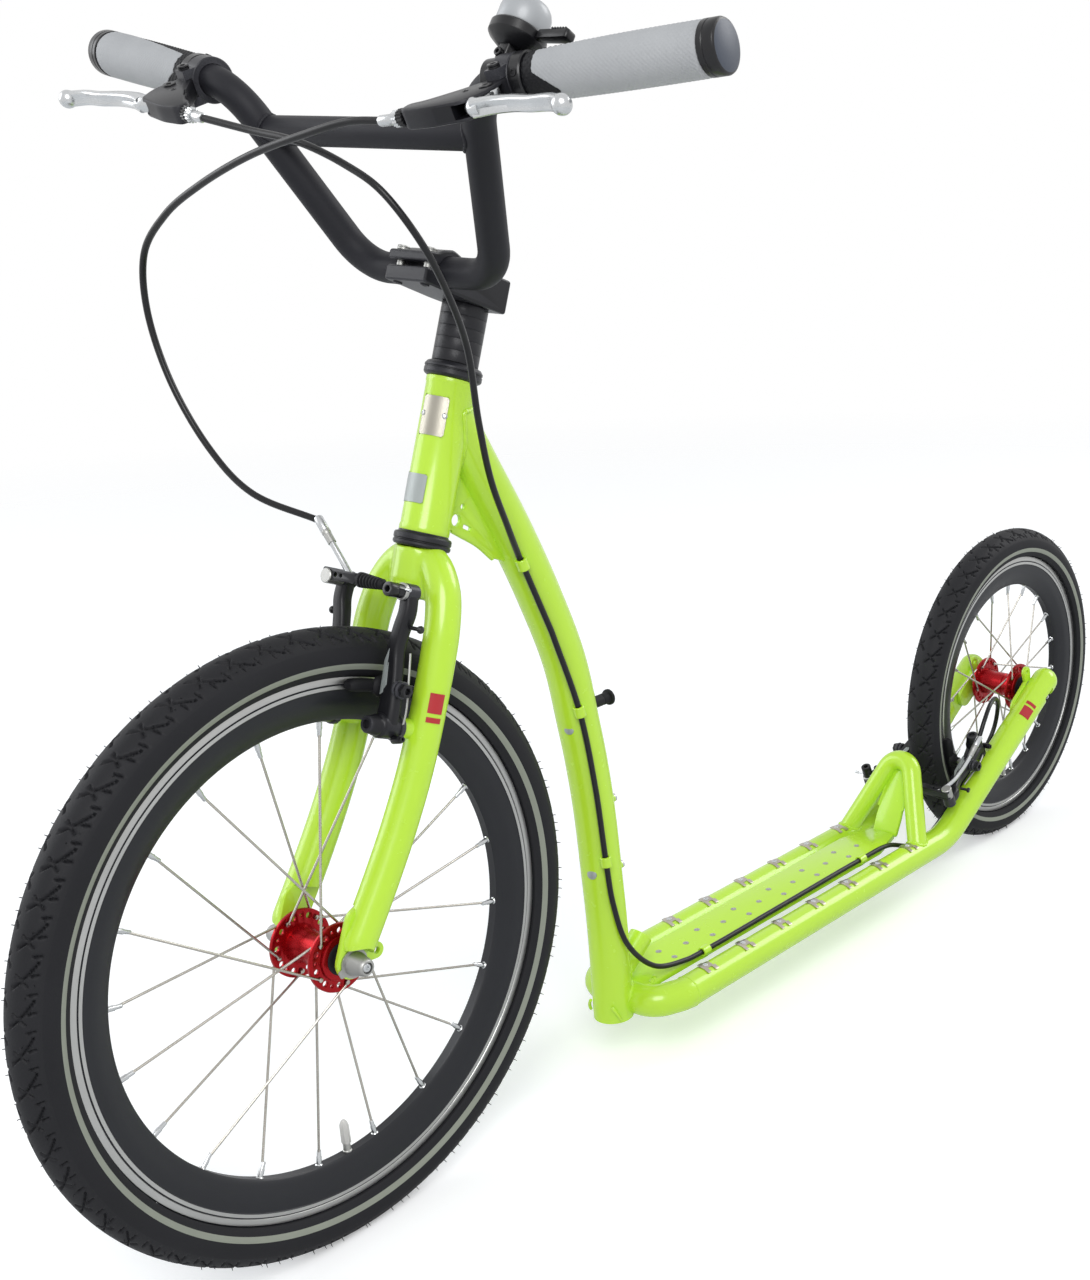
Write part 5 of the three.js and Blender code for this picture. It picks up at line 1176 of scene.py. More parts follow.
def build_bracket(name, at):
    outline = [(a * LEVER_REACH, b * LEVER_REACH) for a, b in BRACKET_SHARES]
    slot = box_shape((-11, -110, -4.3), (40, -22, 4.3))
    window = soft([(-34, -38), (-22, -30), (-24, -26), (-37, -33)], 3, 4)
    tools = slot, Shape().prism(window, 4.6, 12, IDENTITY, 0.2)
    web = Shape().prism(soft(outline, 5, 5), -6.5, 6.5, IDENTITY, 1.6).without(*tools)
    bracket = Shape().merge(web, at).lathe(drum(11.4, 15.9, 6, 0.7), 56, 0, at @ ALONG_X, True)
    for z in (-9.5, 9.5):
        bracket.merge(box_shape((-5.4, -20, z - 3), (5.4, -10, z + 3)), at)
    bracket.bolt((0, -15.6, 12.4), (0, 0, 1), 4, 3, 2, 1, at, 24)
    for hand in (1, -1):
        bracket.bolt((0, -PIVOT_REACH, hand * 5.9), (0, 0, hand), 4.6, 1.4, 2, 1, at, 28)
    bracket.bolt((-13, -34, 5.9), (0, 0, 1), 2, 0.9, 1, 1, at, 18)
    replaced = [f"brake_bracket_{name}"]
    bracket.piece(f"bracket_{name}_skin", [BLACK, PLASTIC], "steering", "black_alloy", replaced)


def build_blade(name, at):
    """The blade: its root lies in the bracket's slot, and its finger is hollow on the inner side."""
    blade = Shape().prism(hull([(0, -PIVOT_REACH, 6.4), (2, -LEVER_REACH + 4, 6)]), -3.9, 3.9, at, 0.8)
    steps = 46
    line = spline([(a * BLADE_LENGTH, -LEVER_REACH - b * BLADE_REACH, 0) for a, b in FINGER_SHARES], steps)
    rings = []
    for k, p in enumerate(line):
        way = (line[min(k + 1, steps)] - line[max(k - 1, 0)]).normalized()
        across = Vector((-way.y, way.x, 0))
        depth = 5.6 - 2.6 * min(1.3 * k / steps, 1)
        tall = 5.5 - 0.6 * math.sin(math.pi * k / steps)
        ring = []
        for t in (math.tau * i / 20 for i in range(20)):
            wide, high = (math.copysign(abs(v) ** 0.55, v) for v in (math.cos(t), math.sin(t)))
            hollow = 1 if wide > 0 else 1 - 0.35 * max(0, 1 - abs(high) * 1.3)
            ring.append(p + across * (wide * depth * hollow) + Vector((0, 0, high * tall)))
        rings.append(ring)
    blade.rings(rings, 0, True, False, at)
    root = [(0, -LEVER_REACH + 3, 0), (3, -LEVER_REACH, 0), (8, -LEVER_REACH - 0.4, 0)]
    blade.sweep(root, [6, 5.8, 5.2], 24, 0, True, False, at)
    blade.ball((BLADE_LENGTH, -LEVER_REACH - BLADE_REACH, 0), 6.4, 28, 0, at)
    blade.lathe(drum(0, 7.6, 4.1, 0.4, 0.5), 32, 0, at @ Matrix.Translation((0, -PIVOT_REACH, 0)))
    blade.piece(f"blade_{name}", SILVER, f"lever_{name}", "silver", [f"brake_lever_{name}"], 40)


def build_barrel(name, at):
    """The cable's adjuster; returns the two places where the cable leaves it."""
    start, drop = -52 - FIT, -48
    barrel_at = at @ Matrix.Translation((0, drop, 0)) @ ALONG_X
    nut = [(0, 4.2, 0), (-0.6, 5.4, 0.35), (-4.4, 5.4, 0.35), (-5, 4.6, 0)]
    screw = [(-5, 3.8, 0), (-5.6, 5, 0.3), (-9, 5, 0.3), (-10, 4, 0)]
    barrel = Shape()
    for rows, flutes, mark in ((nut, 16, 1), (screw, 14, 0)):
        barrel.knurled([(start + z, radius, ridge) for z, radius, ridge in rows], flutes, mark, barrel_at)
    barrel.lathe([(0, start + 3), (3.4, start + 3), (3.4, start), (0, start)], 24, 1, barrel_at)
    barrel.piece(f"barrel_{name}_skin", [SILVER, PLASTIC], "steering", "silver", [f"brake_barrel_{name}"])
    return [at @ Vector((start - 10 - out, drop, 0)) for out in CABLE_REACH]


def build_lever(side):
    name, at = side_name(side), grip_frame(side, LEVER_FROM_END)
    build_bracket(name, at)
    build_blade(name, at)
    return build_barrel(name, at)


def build_bell():
    tilt = Matrix.Rotation(-BELL_TURN, 4, "X")
    at = HEAD @ Matrix.Translation(on_grip(BELL_FROM_END)) @ tilt
    way = Matrix.Rotation(BELL_TURN, 3, "X") @ grip_axis
    base = Shape().lathe(drum(11.5, 14.4, 5), 56, 0, at @ turned_to((0, 0, 0), way), True)
    base.prism(soft([(-4.6, -8), (4.6, -8), (4.6, 8), (-4.6, 8)], 2, 3), 12, 30, at, 0.8)
    base.lathe([
        (0, 21.8), (8, 21.8), (10, 22.4), (17.4, 27.6), (18.5, 29), (18.5, 34.6), (17.8, 35.6), (0, 35.6),
    ], 56, 0, at)
    base.bolt((0, -8.4, 15), (0, -1, 0), 3, 2.4, 1.5, 0, at, 22)
    base.piece("bell_base_skin", PLASTIC, "steering", "black_rubber", ["bell_base"])
    dome = [
        (0, 36.3), (16.2, 36.3), (16.7, 37), (16.7, 46.2), (16.3, 49.6), (15.1, 52.6), (13.2, 54.9),
        (10.6, 56.1), (7.4, 56.5), (3.4, 56.6), (3.2, 56.3), (2.9, 56.3), (2.6, 56.6), (0, 56.6),
    ]
    Shape().lathe(dome, 64, 0, at).piece("bell_dome_skin", BELL, "steering", "bell_shell", ["bell_dome"], 40)
    outline = soft([(18.9, -3.4), (30, -3.8), (46.2, -4.4), (46.2, 4.4), (30, 3.8), (18.9, 3.4)], 2.4, 4)
    thumb = Shape().prism(outline, 29, 35.4, at, 1.2)
    for x in (32 + 2.3 * k for k in range(6)):
        thumb.rod((x, -4.2, 35.2), (x, 4.2, 35.2), 0.8, 12, 0, None, 0.2, at)
    thumb.piece("bell_thumb_skin", PLASTIC, "bell_lever", "black_rubber", ["bell_thumb_lever"])


build_fork()
build_headset()
build_stem()
build_bar()
cable_ends = {}
for side in (1, -1):
    build_grip(side)
    cable_ends[side] = build_lever(side)
build_bell()


# Wheels
def wheel_frame(centre):
    """Z across the wheel to the rider's left, with angle 0 straight down."""
    turn = Matrix(((0, 0, 1), (0, 1, 0), (-1, 0, 0))).to_4x4()
    return Matrix.Translation(centre) @ turn


def tread_depth(around, across):
    """How deep the tread's sipes are at a place: along the tyre in mm, and from -1 to 1 over it."""
    reach, stagger = abs(across), TREAD_PITCH / 2 if across > 0 else 0
    crossing = TREAD_PITCH / 2 - stagger

    def sipe(line, pitch, strength, width):
        return strength - abs((line / pitch) % 1 - 0.5) * pitch / width

    depth = 0.0
    if 0.1 < reach < 0.93:
        depth = max(depth, sipe(around + 24 * reach ** 1.5 + stagger, TREAD_PITCH, 1.0, 1.8))
    if 0.2 < reach < 0.66:
        depth = max(depth, sipe(around - 15 * reach + crossing, TREAD_PITCH, 0.9, 1.6))
    if 0.66 < reach < 0.95:
        depth = max(depth, sipe(around + 6 * reach, TREAD_PITCH / 2, 0.8, 1.6))
    return depth


def build_tyre(prefix, at, body, rim, seat, section):
    """A tyre with a stripe on each wall, a cut tread, and moulding hairs on its shoulders."""
    centre = rim + seat
    pitches = round(math.tau * (centre + section) / TREAD_PITCH)
    segments, stretch = pitches * 24, pitches * TREAD_PITCH / math.tau
    dip = math.asin((seat - FIT) / section)
    wall = [-dip + (math.pi / 2 - TREAD_HALF + dip) * k / 9 for k in range(9)]
    spread = [-1 + 2 * k / TREAD_STEPS for k in range(TREAD_STEPS + 1)]
    profile = [(angle, None) for angle in wall]
    profile += [(math.pi / 2 + across * TREAD_HALF, across) for across in spread]
    profile += [(math.pi - angle, None) for angle in reversed(wall)]
    stripe = (rim + 5.5, rim + 10)
    turns = [math.tau * i / segments for i in range(segments)]
    rings, marks = [], []
    for angle, across in profile:
        radius, height = centre + section * math.sin(angle), section * math.cos(angle)
        if across is None:
            near = [edge for edge in stripe if abs(radius - edge) < 1.3]
            radius = near[0] if near else radius
            cuts = [0] * segments
        else:
            cuts = [1.9 * min(1, 1.5 * tread_depth(t * stretch, across)) for t in turns]
        ring = []
        for t, cut in zip(turns, cuts):
            out = radius - cut * math.sin(angle)
            ring.append((out * math.cos(t), out * math.sin(t), height - cut * math.cos(angle)))
        rings.append(ring)
    for (a, x), (b, y) in zip(profile, profile[1:]):
        middle = centre + section * math.sin((a + b) / 2)
        plain = x is None and y is None
        marks.append((2 if stripe[0] < middle < stripe[1] else 0) if plain else 1)
    shape = Shape().rings(rings, [*marks, 0], False, True, at)
    for i in range(pitches * 2):
        for hand in (1, -1):
            angle = math.pi / 2 + hand * (0.55 + 0.4 * ((i * 7) % 5) / 5)
            turn = math.tau * (i + 0.3 * ((i * 3) % 4)) / (pitches * 2)
            way = Vector((math.cos(turn), math.sin(turn), 0))
            out = way * math.sin(angle) + Vector((0, 0, math.cos(angle)))
            base = way * centre + out * section
            hair = [base - out * 0.3, base + out * 1.5, base + out * 2.6 + Vector((0.5, 0.4, 0))]
            shape.sweep(hair, [0.4, 0.32, 0.18], 5, 1, True, False, at)
    shape.piece(f"{prefix}_tyre_skin", [TYRE, TREAD, STRIPE], body, "tyre", [f"{prefix}_tyre"], 42)


def build_rim(prefix, at, body, rim, valve_turn):
    """A rim with a brake band on each side, marked 1 where a ring of faces is bare metal, and its valve."""
    inner = rim - RIM_DEPTH
    half = [
        (rim - 1, 9.5, 0), (rim, 10.2, 0), (rim, 11.6, 0), (rim - 0.8, 12, 1), (rim - 5.5, 12, 1),
        (rim - 5.9, 11.4, 0), (rim - 6.5, 11.4, 0), (rim - 6.9, 12, 1), (rim - 9.5, 12, 0),
        (rim - 10.3, 11.3, 0), (rim - 16, 10.9, 0), (rim - 22, 10, 0), (inner + 5, 6.4, 0),
        (inner + 1.6, 5.2, 0), (inner + 0.3, 3.6, 0),
    ]
    marks = [mark for _, _, mark in half[:-1]]
    profile = [(radius, wide) for radius, wide, _ in half]
    profile += [(radius, -wide) for radius, wide in reversed(profile)]
    rings = [[(x, y, h) for x, y in circle(r, 256)] for r, h in profile]
    shape = Shape().rings(rings, [*marks, 0, *reversed(marks), 0], False, True, at)
    shape.piece(f"{prefix}_rim_skin", [RIM_BLACK, BRAKE_BAND], body, "rim_black", [f"{prefix}_rim"])

    place = at @ Matrix.Rotation(valve_turn, 4, "Z") @ turned_to((inner + 4, 0, 0), (-1, 0, 0))
    valve = Shape().lathe([(0, 0), (3.6, 0), (3.6, 4.6), (3.0, 5.2), (2.9, 12), (0, 12)], 24, 0, place)
    cap = [(11, 3.1, 0), (11.6, 3.5, 0.3), (27, 3.3, 0.3), (29.5, 2.7, 0.1), (31.4, 1.5, 0)]
    valve.knurled(cap, 8, 1, place, 8)
    valve.piece(f"{prefix}_valve", [SATIN, CLEAR], body, "silver")


def build_spokes(prefix, at, body, rim, valve_turn):
    """Spokes crossed from flange to rim; out is the way along Z in which a spoke lies off its flange."""
    spokes, nipples = Shape(), Shape()
    inner = rim - RIM_DEPTH
    for i in range(SPOKE_COUNT):
        hand = 1 if i % 2 else -1
        out = hand if i % 4 in (1, 2) else -hand
        angle = valve_turn + (i + 0.5) * math.tau / SPOKE_COUNT
        foot = angle + SPOKE_LEAD * (1 if i % 4 < 2 else -1)
        base = Vector((math.cos(foot), math.sin(foot), 0)) * SPOKE_CIRCLE
        way = Vector((math.cos(angle), math.sin(angle), 0))
        rim_end = way * (inner - 7)
        start = base + Vector((0, 0, hand * FLANGE_PLACE + out * 2.9))
        head = base + Vector((0, 0, hand * FLANGE_PLACE - out * 2.6))
        toward = (rim_end - start).normalized()
        path = [head, head.lerp(start, 0.7)]
        path += [start + toward * d - Vector((0, 0, out * 0.8 * (1 - d / 3))) for d in (0.3, 1.4, 3)]
        spokes.sweep([*path, rim_end], 1.0, 12, 0, True, False, at)
        head_at = at @ turned_to(head, (0, 0, -out))
        spokes.lathe([(0, 0), (1.9, 0), (1.8, 0.5), (1.1, 0.9), (0, 1)], 14, 0, head_at)
        nipple_way = (way * (inner + 2) - rim_end).normalized()
        nipples.lathe([
            (0, -4), (1.3, -4), (1.6, -3.4), (1.7, 1), (2.1, 2), (2.1, 7.4), (2.9, 8.2), (2.9, 9), (0, 9),
        ], 16, 0, at @ turned_to(rim_end - nipple_way, nipple_way))
    spokes.piece(f"{prefix}_spokes", SPOKE, body, "steel")
    nipples.piece(f"{prefix}_nipples", SILVER, body, "silver")


def build_hub(prefix, at, body, valve_turn):
    upper = [
        (13, 5.6), (12.2, 6.2), (12.2, 8), (12.8, 12), (14.6, 18), (15.6, 23.5), (17.6, 23.6), (17.6, 24),
        (17.2, 25), (16, 25.5), (0, 25.5),
    ]
    hub = Shape().lathe(mirrored_profile(upper), 72, 0, at)
    step = math.tau / SPOKE_COUNT * 2
    for hand in (1, -1):
        first = valve_turn + (0.75 if hand > 0 else 0.25) * step + SPOKE_LEAD
        holes = []
        for k in range(SPOKE_COUNT // 2):
            for size, sides, reach, lag in ((1.35, 14, SPOKE_CIRCLE, 0), (2.3, 18, 21.6, 0.5)):
                turn = first + (k + lag) * step
                holes.append(circle(size, sides, 0, (reach * math.cos(turn), reach * math.sin(turn))))
        low, high = sorted((hand * 20, hand * 23.2))
        hub.pierced(circle(27, 96), [*holes, circle(14, 48)], low, high, at, 0.6)
    hub.piece(f"{prefix}_hub_skin", RED, body, "red_anodised", [f"{prefix}_hub"])
    seals = Shape()
    ring = [(5.4, 25.3), (12.9, 25.3), (12.9, 25.9), (12.2, 26.4), (9, 26.8), (8.8, 31), (5.4, 31)]
    for hand in (1, -1):
        seals.lathe(ring, 56, 0, at @ Matrix.Scale(hand, 4, (0, 0, 1)), True)
    seals.piece(f"{prefix}_hub_seals", RUBBER, body, "black_rubber")


def build_axle(prefix, at, body):
    start = DROPOUT_INNER + DROPOUT_THICK + FIT
    axle = Shape().rod((0, 0, -start - 3), (0, 0, start + 3), 5, 32, 0, None, 0.4, at)
    nut = [
        (5.1, 0), (11.4, 0), (11.6, 0.4), (11.6, 1.6), (9.4, 1.7), (9.4, 3.6), (9, 4.4), (6.9, 13.8),
        (6.2, 15.4), (5.6, 16), (4.3, 16), (4.2, 12), (0, 12),
    ]
    end = [(0, 11), (3.6, 11), (3.5, 14.9), (2.9, 15.4), (1.5, 15.4), (1.3, 14.4), (0, 14.4)]
    tab = soft([(-4, 8), (4, 8), (3, 15), (-3, 15)], 1.5, 3)
    for hand in (1, -1):
        side_at = at @ Matrix.Scale(hand, 4, (0, 0, 1)) @ Matrix.Translation((0, 0, start))
        axle.lathe(nut, 56, 0, side_at).lathe(end, 32, 1, side_at)
        axle.prism(tab, 0.1, 1.5, side_at @ Matrix.Rotation(math.radians(200), 4, "Z"), 0.3, 0)
    axle.piece(f"{prefix}_axle_skin", [SATIN, SILVER], body, "steel", [f"{prefix}_axle"])


def build_wheel(prefix, centre, sizes, valve_turn, body, carrier):
    at, rim = wheel_frame(centre), sizes[0]
    build_tyre(prefix, at, body, *sizes)
    build_rim(prefix, at, body, rim, valve_turn)
    build_spokes(prefix, at, body, rim, valve_turn)
    build_hub(prefix, at, body, valve_turn)
    build_axle(prefix, at, carrier)


# Brakes
def brake_pad(shape, side, rim, post_end, at):
    """A pad bent to the rim, with a raised middle and a metal post."""
    face, outer = 13.6, rim - 1.4
    height = outer - PAD_HALF

    def bent(x, along, up):
        angle, radius = along / rim, height + up
        return (side * x, radius * math.sin(angle), radius * math.cos(angle))

    rings = []
    for along in [-35, -34.2, -32, *range(-28, 29, 4), 32, 34.2, 35]:
        ease = 1 - max(0, (abs(along) - 30) / 5) ** 2 * 0.5
        half, back = PAD_HALF * ease, face + 9 * (0.75 + 0.25 * ease)
        corners = [
            (face, -half), (back - 2, -half), (back, -half * 0.5), (back, half * 0.5), (back - 2, half),
            (face, half),
        ]
        rings.append([bent(x, along, z) for x, z in soft(corners, 1, 2)])
    shape.rings(rings, 0, True, False, at)
    shoe = [(0, 0), (8, 0), (7.5, 2), (6, 3.4), (4.5, 4), (4.5, 8), (0, 8)]
    shape.lathe(shoe, 32, 0, at @ turned_to((side * (face + 7), -ARM_OFFSET, height), (side, 0, 0)))
    start, end = ((side * x, -ARM_OFFSET, height) for x in (face + 6, post_end))
    shape.rod(start, end, 3.2, 24, 1, None, 0.4, at)


def arm_line(length):
    """The arm's centre and half width from its foot up, in its own plane."""
    return [
        (0, 0, 9), (0.6, 10, 8.4), (0.2, 24, 7.2), (-1.6, 42, 6.4), (-3.4, 56, 6.2), (-1.4, 72, 6),
        (1.2, 84 / 98 * length, 5.8), (0, length, 5.6),
    ]


def brake_arm(arm, trim, length, has_anchor, at):
    """One arm about its pivot, with its bolt, knob, spring and the wire's anchor."""
    steps = 40
    line = spline([(x, 0, z) for x, z, _ in arm_line(length)], steps)
    widths = [half for _, _, half in arm_line(length)]
    rings = []
    for k, p in enumerate(line):
        spot = k / steps * (len(widths) - 1)
        low = min(int(spot), len(widths) - 2)
        half = widths[low] + (widths[low + 1] - widths[low]) * (spot - low)
        thick = 5.4 - 0.72 * math.sin(math.pi * min(1.2 * k / steps, 1))
        way = (line[min(k + 1, steps)] - line[max(k - 1, 0)]).normalized()
        wide = Vector((way.z, 0, -way.x))
        corners = [
            (-half, -thick * 0.5), (-half * 0.7, -thick), (half * 0.7, -thick), (half, -thick * 0.5),
            (half, thick * 0.6), (half * 0.75, thick), (-half * 0.75, thick), (-half, thick * 0.6),
        ]
        rings.append([p + wide * a + Vector((0, b, 0)) for a, b in soft(corners, 1.2, 2)])
    arm.rings(rings, 0, True, False, at)
    front, tip = turned_to((0, 0, 0), (0, -1, 0)), at @ Matrix.Translation((0, 0, length))
    arm.lathe([
        (0, -11), (9, -11), (9.4, -10.2), (9.4, 6), (9, 7.4), (7.8, 8.6), (7.8, 11), (7.2, 12),
        (6.6, 17), (5.8, 18), (3.4, 18), (3, 16.6), (0, 16.6),
    ], 44, 0, at @ front)
    arm.lathe([(9.2, -11.2), (10.4, -10.6), (10.4, -7.6), (9.2, -7)], 44, 0, at @ front)
    arm.lathe(drum(0, 6.5, 5.4, 0.5, 0.6), 36, 0, tip @ turned_to((0, 0, 0), BACKWARD))
    if has_anchor:
        trim.lathe([(0, 5.4), (5.8, 5.4), (6.4, 6), (6.4, 8), (5.6, 8.6), (0, 8.6)], 32, 1, tip @ front)
        trim.bolt((0, -8.2, 0), (0, -1, 0), 5.3, 13, 2.6, 0, tip, 30)
    knob = [(0, 0), (1.5, 0), (1.5, 7), (2.6, 7.6), (3, 9), (2.4, 10.4), (0, 10.8)]
    trim.lathe(knob, 20, 0, at @ turned_to((5, 2, length * 0.75), (1, 0.2, 0)))

    # Spring wire behind the arm and its screw at the foot
    wire = spline([(8, 8, -3), (9.6, 8, 12), (7.5, 7, 36), (4.5, 6.8, 55)], 24)
    trim.sweep(wire, 0.9, 10, 1, True, False, at)
    trim.rod((6, 4, -9), (14, 4, -7), 3, 20, 0, None, 0.6, at)
    trim.bolt((13.6, 4, -7.1), (1, 0, 0.25), 2.4, 2.2, 1.2, 0, at, 18)


def build_arm(prefix, name, side, rim, splay, length, at):
    """An arm with its trim, blank plate and pad; side is 1 for the one that holds the wire's anchor."""
    pivots, rise = rim - PIVOT_DROP, PIVOT_DROP - FIT - PAD_HALF
    at_pad = PIVOT_SPREAD + math.tan(splay) * rise
    hand, lean = Matrix.Scale(side, 4, (1, 0, 0)), Matrix.Rotation(splay, 4, "Y")
    here = at @ Matrix.Translation((0, 0, pivots)) @ hand
    here = here @ Matrix.Translation((PIVOT_SPREAD, -ARM_OFFSET, 0)) @ lean
    body = f"{prefix}_arm_{name}"

    def beside(reach):
        return turned_to((side * (at_pad + reach), -ARM_OFFSET, pivots + rise), (side, 0, 0))

    arm, trim, plate, pad = Shape(), Shape(), Shape(), Shape()
    brake_arm(arm, trim, length, side > 0, here)
    washer = [(3.4, 0), (6.2, 0), (6.6, 1.2), (6, 2.6), (3.4, 2.6)]
    for reach in (5.6, 9.4):
        arm.lathe(washer, 28, 0, at @ beside(reach), True)
    arm.piece(f"{prefix}_arm_{name}_skin", BLACK, body, "black_alloy", [f"{prefix}_brake_arm_{name}"])
    trim.bolt((0, 0, 0), (0, 0, 1), 5.4, 4.4, 2.6, 0, at @ beside(12), 6)
    trim.piece(f"{prefix}_arm_{name}_trim", [PLASTIC, SATIN], body, "black_alloy")
    for outline in ARM_PLATES:
        plate.prism(outline, 4.6, 5.3, here @ FACE_Y, 0.1)
    plate.piece(f"{prefix}_arm_{name}_plate", PALE, body, "silver")
    brake_pad(pad, side, rim, at_pad + 13, at)
    replaced = [f"{prefix}_brake_pad_{name}"]
    pad.piece(f"{prefix}_pad_{name}_skin", [RUBBER, SATIN], body, "black_rubber", replaced)


def build_brake(prefix, at, flip, rim, splay, length, wire_out, noodle, main_body):
    """A pair of arms with the link, noodle, wire and boot; returns where the cable leaves the noodle."""
    for side in (1, -1):
        build_arm(prefix, side_name(side * flip), side, rim, splay, length, at)
    tip_x = PIVOT_SPREAD + math.sin(splay) * length
    tip_z = rim - PIVOT_DROP + math.cos(splay) * length
    wire_y, wire_z = -ARM_OFFSET - wire_out, tip_z + 2
    link_end = tip_x - 30
    across = (1, 0, 0)

    link = Shape()
    outline = [
        (-tip_x - 5, -4.4), (-tip_x + 8, -4.6), (-link_end - 6, -3.4), (-link_end, -4.4),
        (-link_end, 4.4), (-link_end - 7, 3.4), (-tip_x + 8, 4.6), (-tip_x - 5, 4.4),
    ]
    link_at = at @ Matrix.Translation((0, wire_y, wire_z)) @ FACE_Y
    holes = [circle(1.7, 18, 0, (-tip_x + 9, 0)), circle(1.4, 18, 0, (-tip_x + 15, 0))]
    for low, high in ((-5, -3.2), (3.2, 5)):
        link.pierced(soft(outline, 2, 3), holes, low, high, link_at, 0.3)
    bridge = [(-tip_x - 4, 2.4), (-tip_x - 4, 4), (-link_end, 4), (-link_end, 2.4)]
    link.prism(soft(bridge, 0.5, 2), -4, 4, link_at, 0.3)
    socket_at = at @ turned_to((-link_end - 8, wire_y, wire_z), across)
    link.lathe([(0, 0), (4.2, 0), (4.2, 6), (3.2, 8), (0, 8)], 28, 0, socket_at)
    pin = [(0, -8.4), (5, -8.4), (5.6, -7.8), (5.6, 5.8), (5, 6.4), (0, 6.4)]
    link.lathe(pin, 32, 2, at @ turned_to((-tip_x, wire_y + 2, tip_z), BACKWARD))
    link.rod((-tip_x, -ARM_OFFSET, tip_z), (-tip_x, wire_y, tip_z), 3.6, 24, 1, None, 0.4, at)

    bend = [Vector((inward - tip_x, wire_y + y, wire_z + z)) for inward, y, z in noodle]
    start, wire_end = Vector((-link_end - 9, wire_y, wire_z)), Vector((tip_x + 14.5, wire_y, wire_z))
    path = spline([start, *bend], 60)
    braid = [2.35 + 0.22 * abs(math.sin(1.9 * k)) for k in range(61)] if splay else [2.4] * 61
    link.sweep(path, braid, 20, 1, True, False, at)
    sleeve_path = path[50 if splay else 44:]
    radii = [3.1] * (len(sleeve_path) - 5) + [3.4] * 4 + [3.0]
    link.sweep(sleeve_path, radii, 24, 2, True, False, at)
    link.sweep([start, wire_end], 0.8, 10, 1, True, False, at)
    crimp_at = at @ turned_to(wire_end - Vector((3, 0, 0)), across)
    link.lathe([(0, 0), (1.3, 0), (1.3, 4), (0, 4.4)], 14, 1, crimp_at)
    replaced = [f"{prefix}_brake_noodle"]
    link.piece(f"{prefix}_noodle_skin", [BLACK, SILVER, SATIN], main_body, "silver", replaced)

    profile = [(1.7, 0), (5.2, 0), (5.7, 0.6), (5.7, 3.4)]
    for k in range(7):
        radius, low = 5.5 - 0.24 * k, 3.8 + k * 3.0
        profile += [(radius - 1.3, low), (radius - 1.3, low + 0.7), (radius, low + 1.3), (radius, low + 2.4)]
    profile += [(2.8, 25.3), (2.2, 26), (1.7, 26)]
    boot = Shape().lathe(profile, 40, 0, at @ turned_to((FIT - link_end, wire_y, wire_z), across), True)
    boot.piece(f"{prefix}_boot_skin", RUBBER, main_body, "black_rubber", [f"{prefix}_brake_boot"], 50)
    way = (bend[-1] - bend[-2]).normalized()
    return [at @ (bend[-1] + way * out) for out in CABLE_REACH]


def build_cable(name, points, count, ends, replaces, body=None):
    """A cable through points, with a ferrule at each end given as its two places."""
    path = [points[0], *spline(points[1:-1], count), points[-1]]
    path = [p for k, p in enumerate(path) if k == 0 or (p - path[k - 1]).length > 0.05]
    cable = Shape().sweep(path, CABLE_RADIUS, 18)
    ferrule = [(0, -1), (3.3, -1), (3.5, -0.4), (3.5, 10), (3.1, 11), (CABLE_RADIUS, 11.4), (0, 11.4)]
    for near, far in ends:
        cable.lathe(ferrule, 28, 1, turned_to(near, far - near))
    return cable.piece(name, [CABLE, SILVER], body, "cable_black", replaces)


build_wheel("front", HEAD @ FRONT_AXLE, (FRONT_RIM, FRONT_SEAT, FRONT_SECTION), 0, "front_wheel", "steering")
build_wheel("rear", REAR_AXLE, (REAR_RIM, REAR_SEAT, REAR_SECTION), REAR_VALVE, "rear_wheel", "frame")
front_end = build_brake(
    "front", HEAD @ Matrix.Translation(FRONT_AXLE), 1, FRONT_RIM, 0, 98, 14, FRONT_NOODLE, "steering")
rear_end = build_brake(
    "rear", rear_brake_frame(), -1, REAR_RIM, math.radians(12), 89, 11, REAR_NOODLE, "frame")

left_end, right_end = cable_ends[1], cable_ends[-1]
guide, below = vectors(REAR_ROUTE[:2])
guide_end = [guide + (guide - below).normalized() * out for out in reversed(CABLE_REACH)]
front_points = [*left_end, *vectors(FRONT_ROUTE), *reversed(front_end)]
build_cable("front_cable", front_points, 260, [front_end, left_end], ["front_brake_cable"], "steering")
loop_points = [*right_end, *vectors(LOOP_ROUTE), *guide_end]
loop = build_cable("rear_cable_loop", loop_points, 220, [right_end], ["rear_brake_cable_loop"])
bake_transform(loop)
rear_points = [*vectors(REAR_ROUTE), *reversed(rear_end)]
build_cable("rear_cable_frame", rear_points, 420, [rear_end], ["rear_brake_cable_frame"], "frame")


# Light and ground
def make_world():
    """A soft light from all round, which the camera and reflections see as white."""
    world = bpy.data.worlds.new("studio")
    bpy.context.scene.world = world
    world.use_nodes = True
    tree = world.node_tree
    soft_light = tree.nodes["Background"]
    soft_light.inputs["Color"].default_value = (0.9, 0.95, 1, 1)
    soft_light.inputs["Strength"].default_value = 0.5
    white = node(tree, "Background", Color=(1, 1, 1, 1), Strength=1).outputs["Background"]
    rays = node(tree, "LightPath").outputs
    either = {"operation": "ADD", "use_clamp": True}
    seen = node(tree, "Math", either, rays["Is Camera Ray"], rays["Is Glossy Ray"]).outputs["Value"]
    shown = node(tree, "Math", either, seen, rays["Is Transmission Ray"]).outputs["Value"]
    mix = node(tree, "MixShader", None, shown, soft_light.outputs["Background"], white)
    tree.links.new(mix.outputs["Shader"], tree.nodes["World Output"].inputs["Surface"])


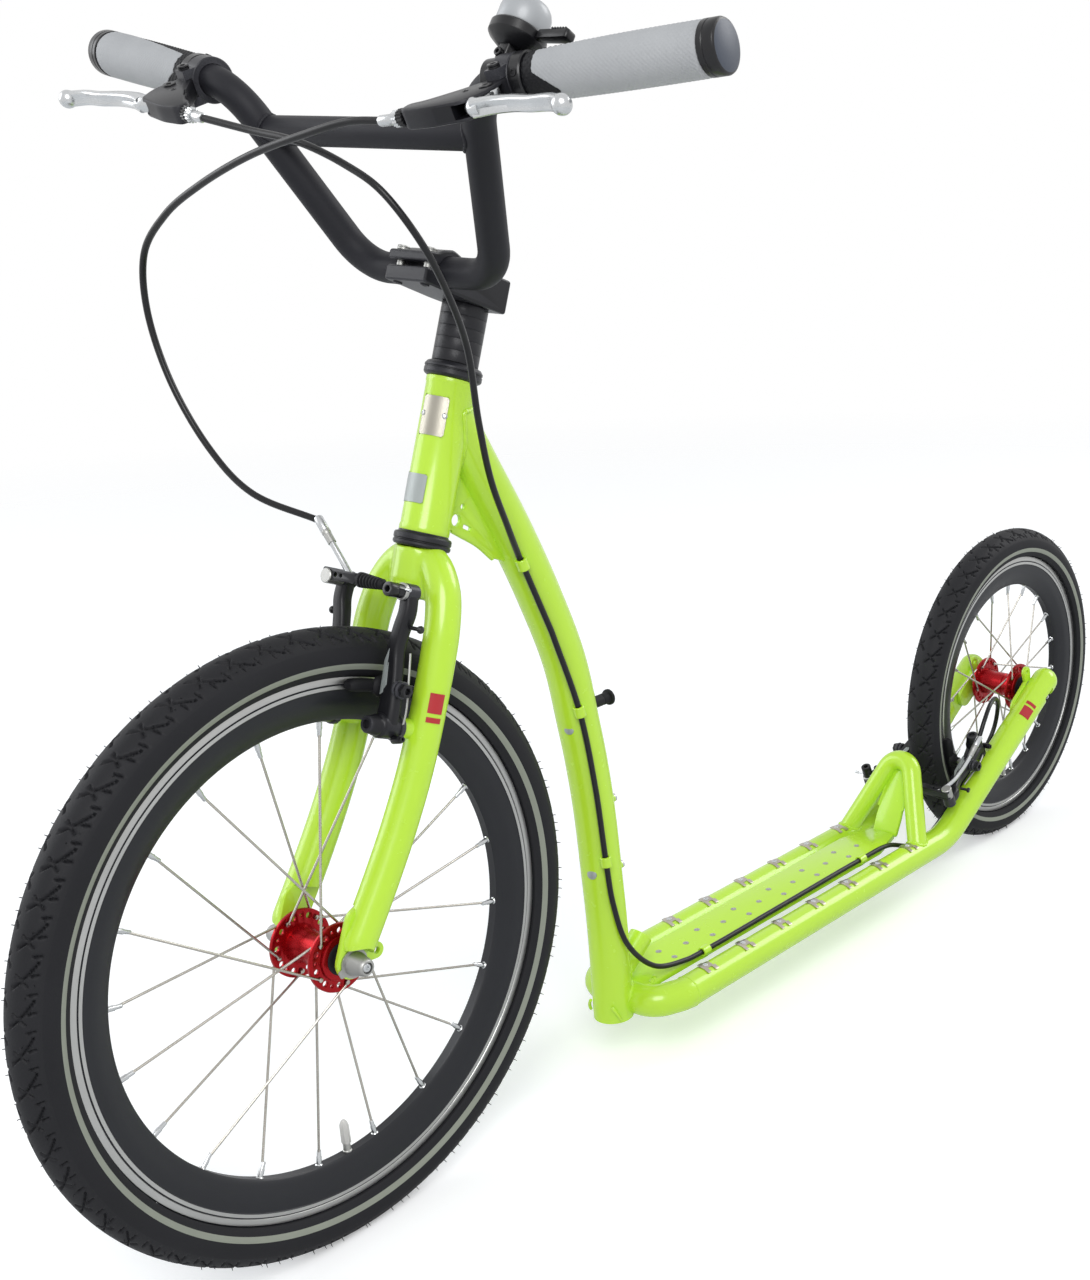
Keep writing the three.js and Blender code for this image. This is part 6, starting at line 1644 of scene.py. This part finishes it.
def make_lamp(name, place, target, size, power, color=(1, 1, 1)):
    data = bpy.data.lights.new(name, "AREA")
    data.shape, data.size = "DISK", size
    data.energy, data.color = power, color
    lamp = bpy.data.objects.new(name, data)
    lamp.location = place
    lamp.rotation_mode = "QUATERNION"
    lamp.rotation_quaternion = (Vector(target) - Vector(place)).to_track_quat("-Z", "Y")
    bpy.context.scene.collection.objects.link(lamp)


def make_floor():
    """A white floor that fades into the background; it lifts only what the camera sees of it."""
    data = bpy.data.meshes.new("floor")
    data.from_pydata([(-6, -6, 0), (6, -6, 0), (6, 6, 0), (-6, 6, 0)], [], [(0, 1, 2, 3)])
    material = bpy.data.materials.new("floor_white")
    material.use_nodes = True
    tree = material.node_tree
    tree.nodes.remove(tree.nodes["Principled BSDF"])
    seen = node(tree, "LightPath").outputs["Is Camera Ray"]
    lift = node(tree, "Math", {"operation": "MULTIPLY"}, seen, 0.3).outputs["Value"]
    glow = node(tree, "Emission", Strength=lift).outputs["Emission"]
    plain = node(tree, "BsdfDiffuse", Color=(0.86, 0.86, 0.86, 1)).outputs["BSDF"]
    total = node(tree, "AddShader", None, plain, glow).outputs["Shader"]
    spot = node(tree, "TexCoord").outputs["Object"]
    far = node(tree, "VectorMath", {"operation": "LENGTH"}, spot).outputs["Value"]
    fade = node(tree, "MapRange", Value=far, From_Min=1.6, From_Max=3.2).outputs["Result"]
    clear = node(tree, "BsdfTransparent").outputs["BSDF"]
    mix = node(tree, "MixShader", None, fade, total, clear)
    tree.links.new(mix.outputs["Shader"], tree.nodes["Material Output"].inputs["Surface"])
    data.materials.append(material)
    floor = bpy.data.objects.new("floor", data)
    bpy.context.scene.collection.objects.link(floor)


make_world()
make_lamp("key", (2.2, -2.4, 2.9), (0, -0.1, 0.4), 2.2, 86)
make_lamp("fill", (-2.8, -1.6, 1.8), (0, 0, 0.4), 2.4, 40, (0.95, 0.97, 1))
make_lamp("rim", (1.2, 2.8, 2.2), (0, 0.1, 0.4), 1.8, 42)
make_floor()

bpy.context.scene.view_settings.view_transform = "Standard"
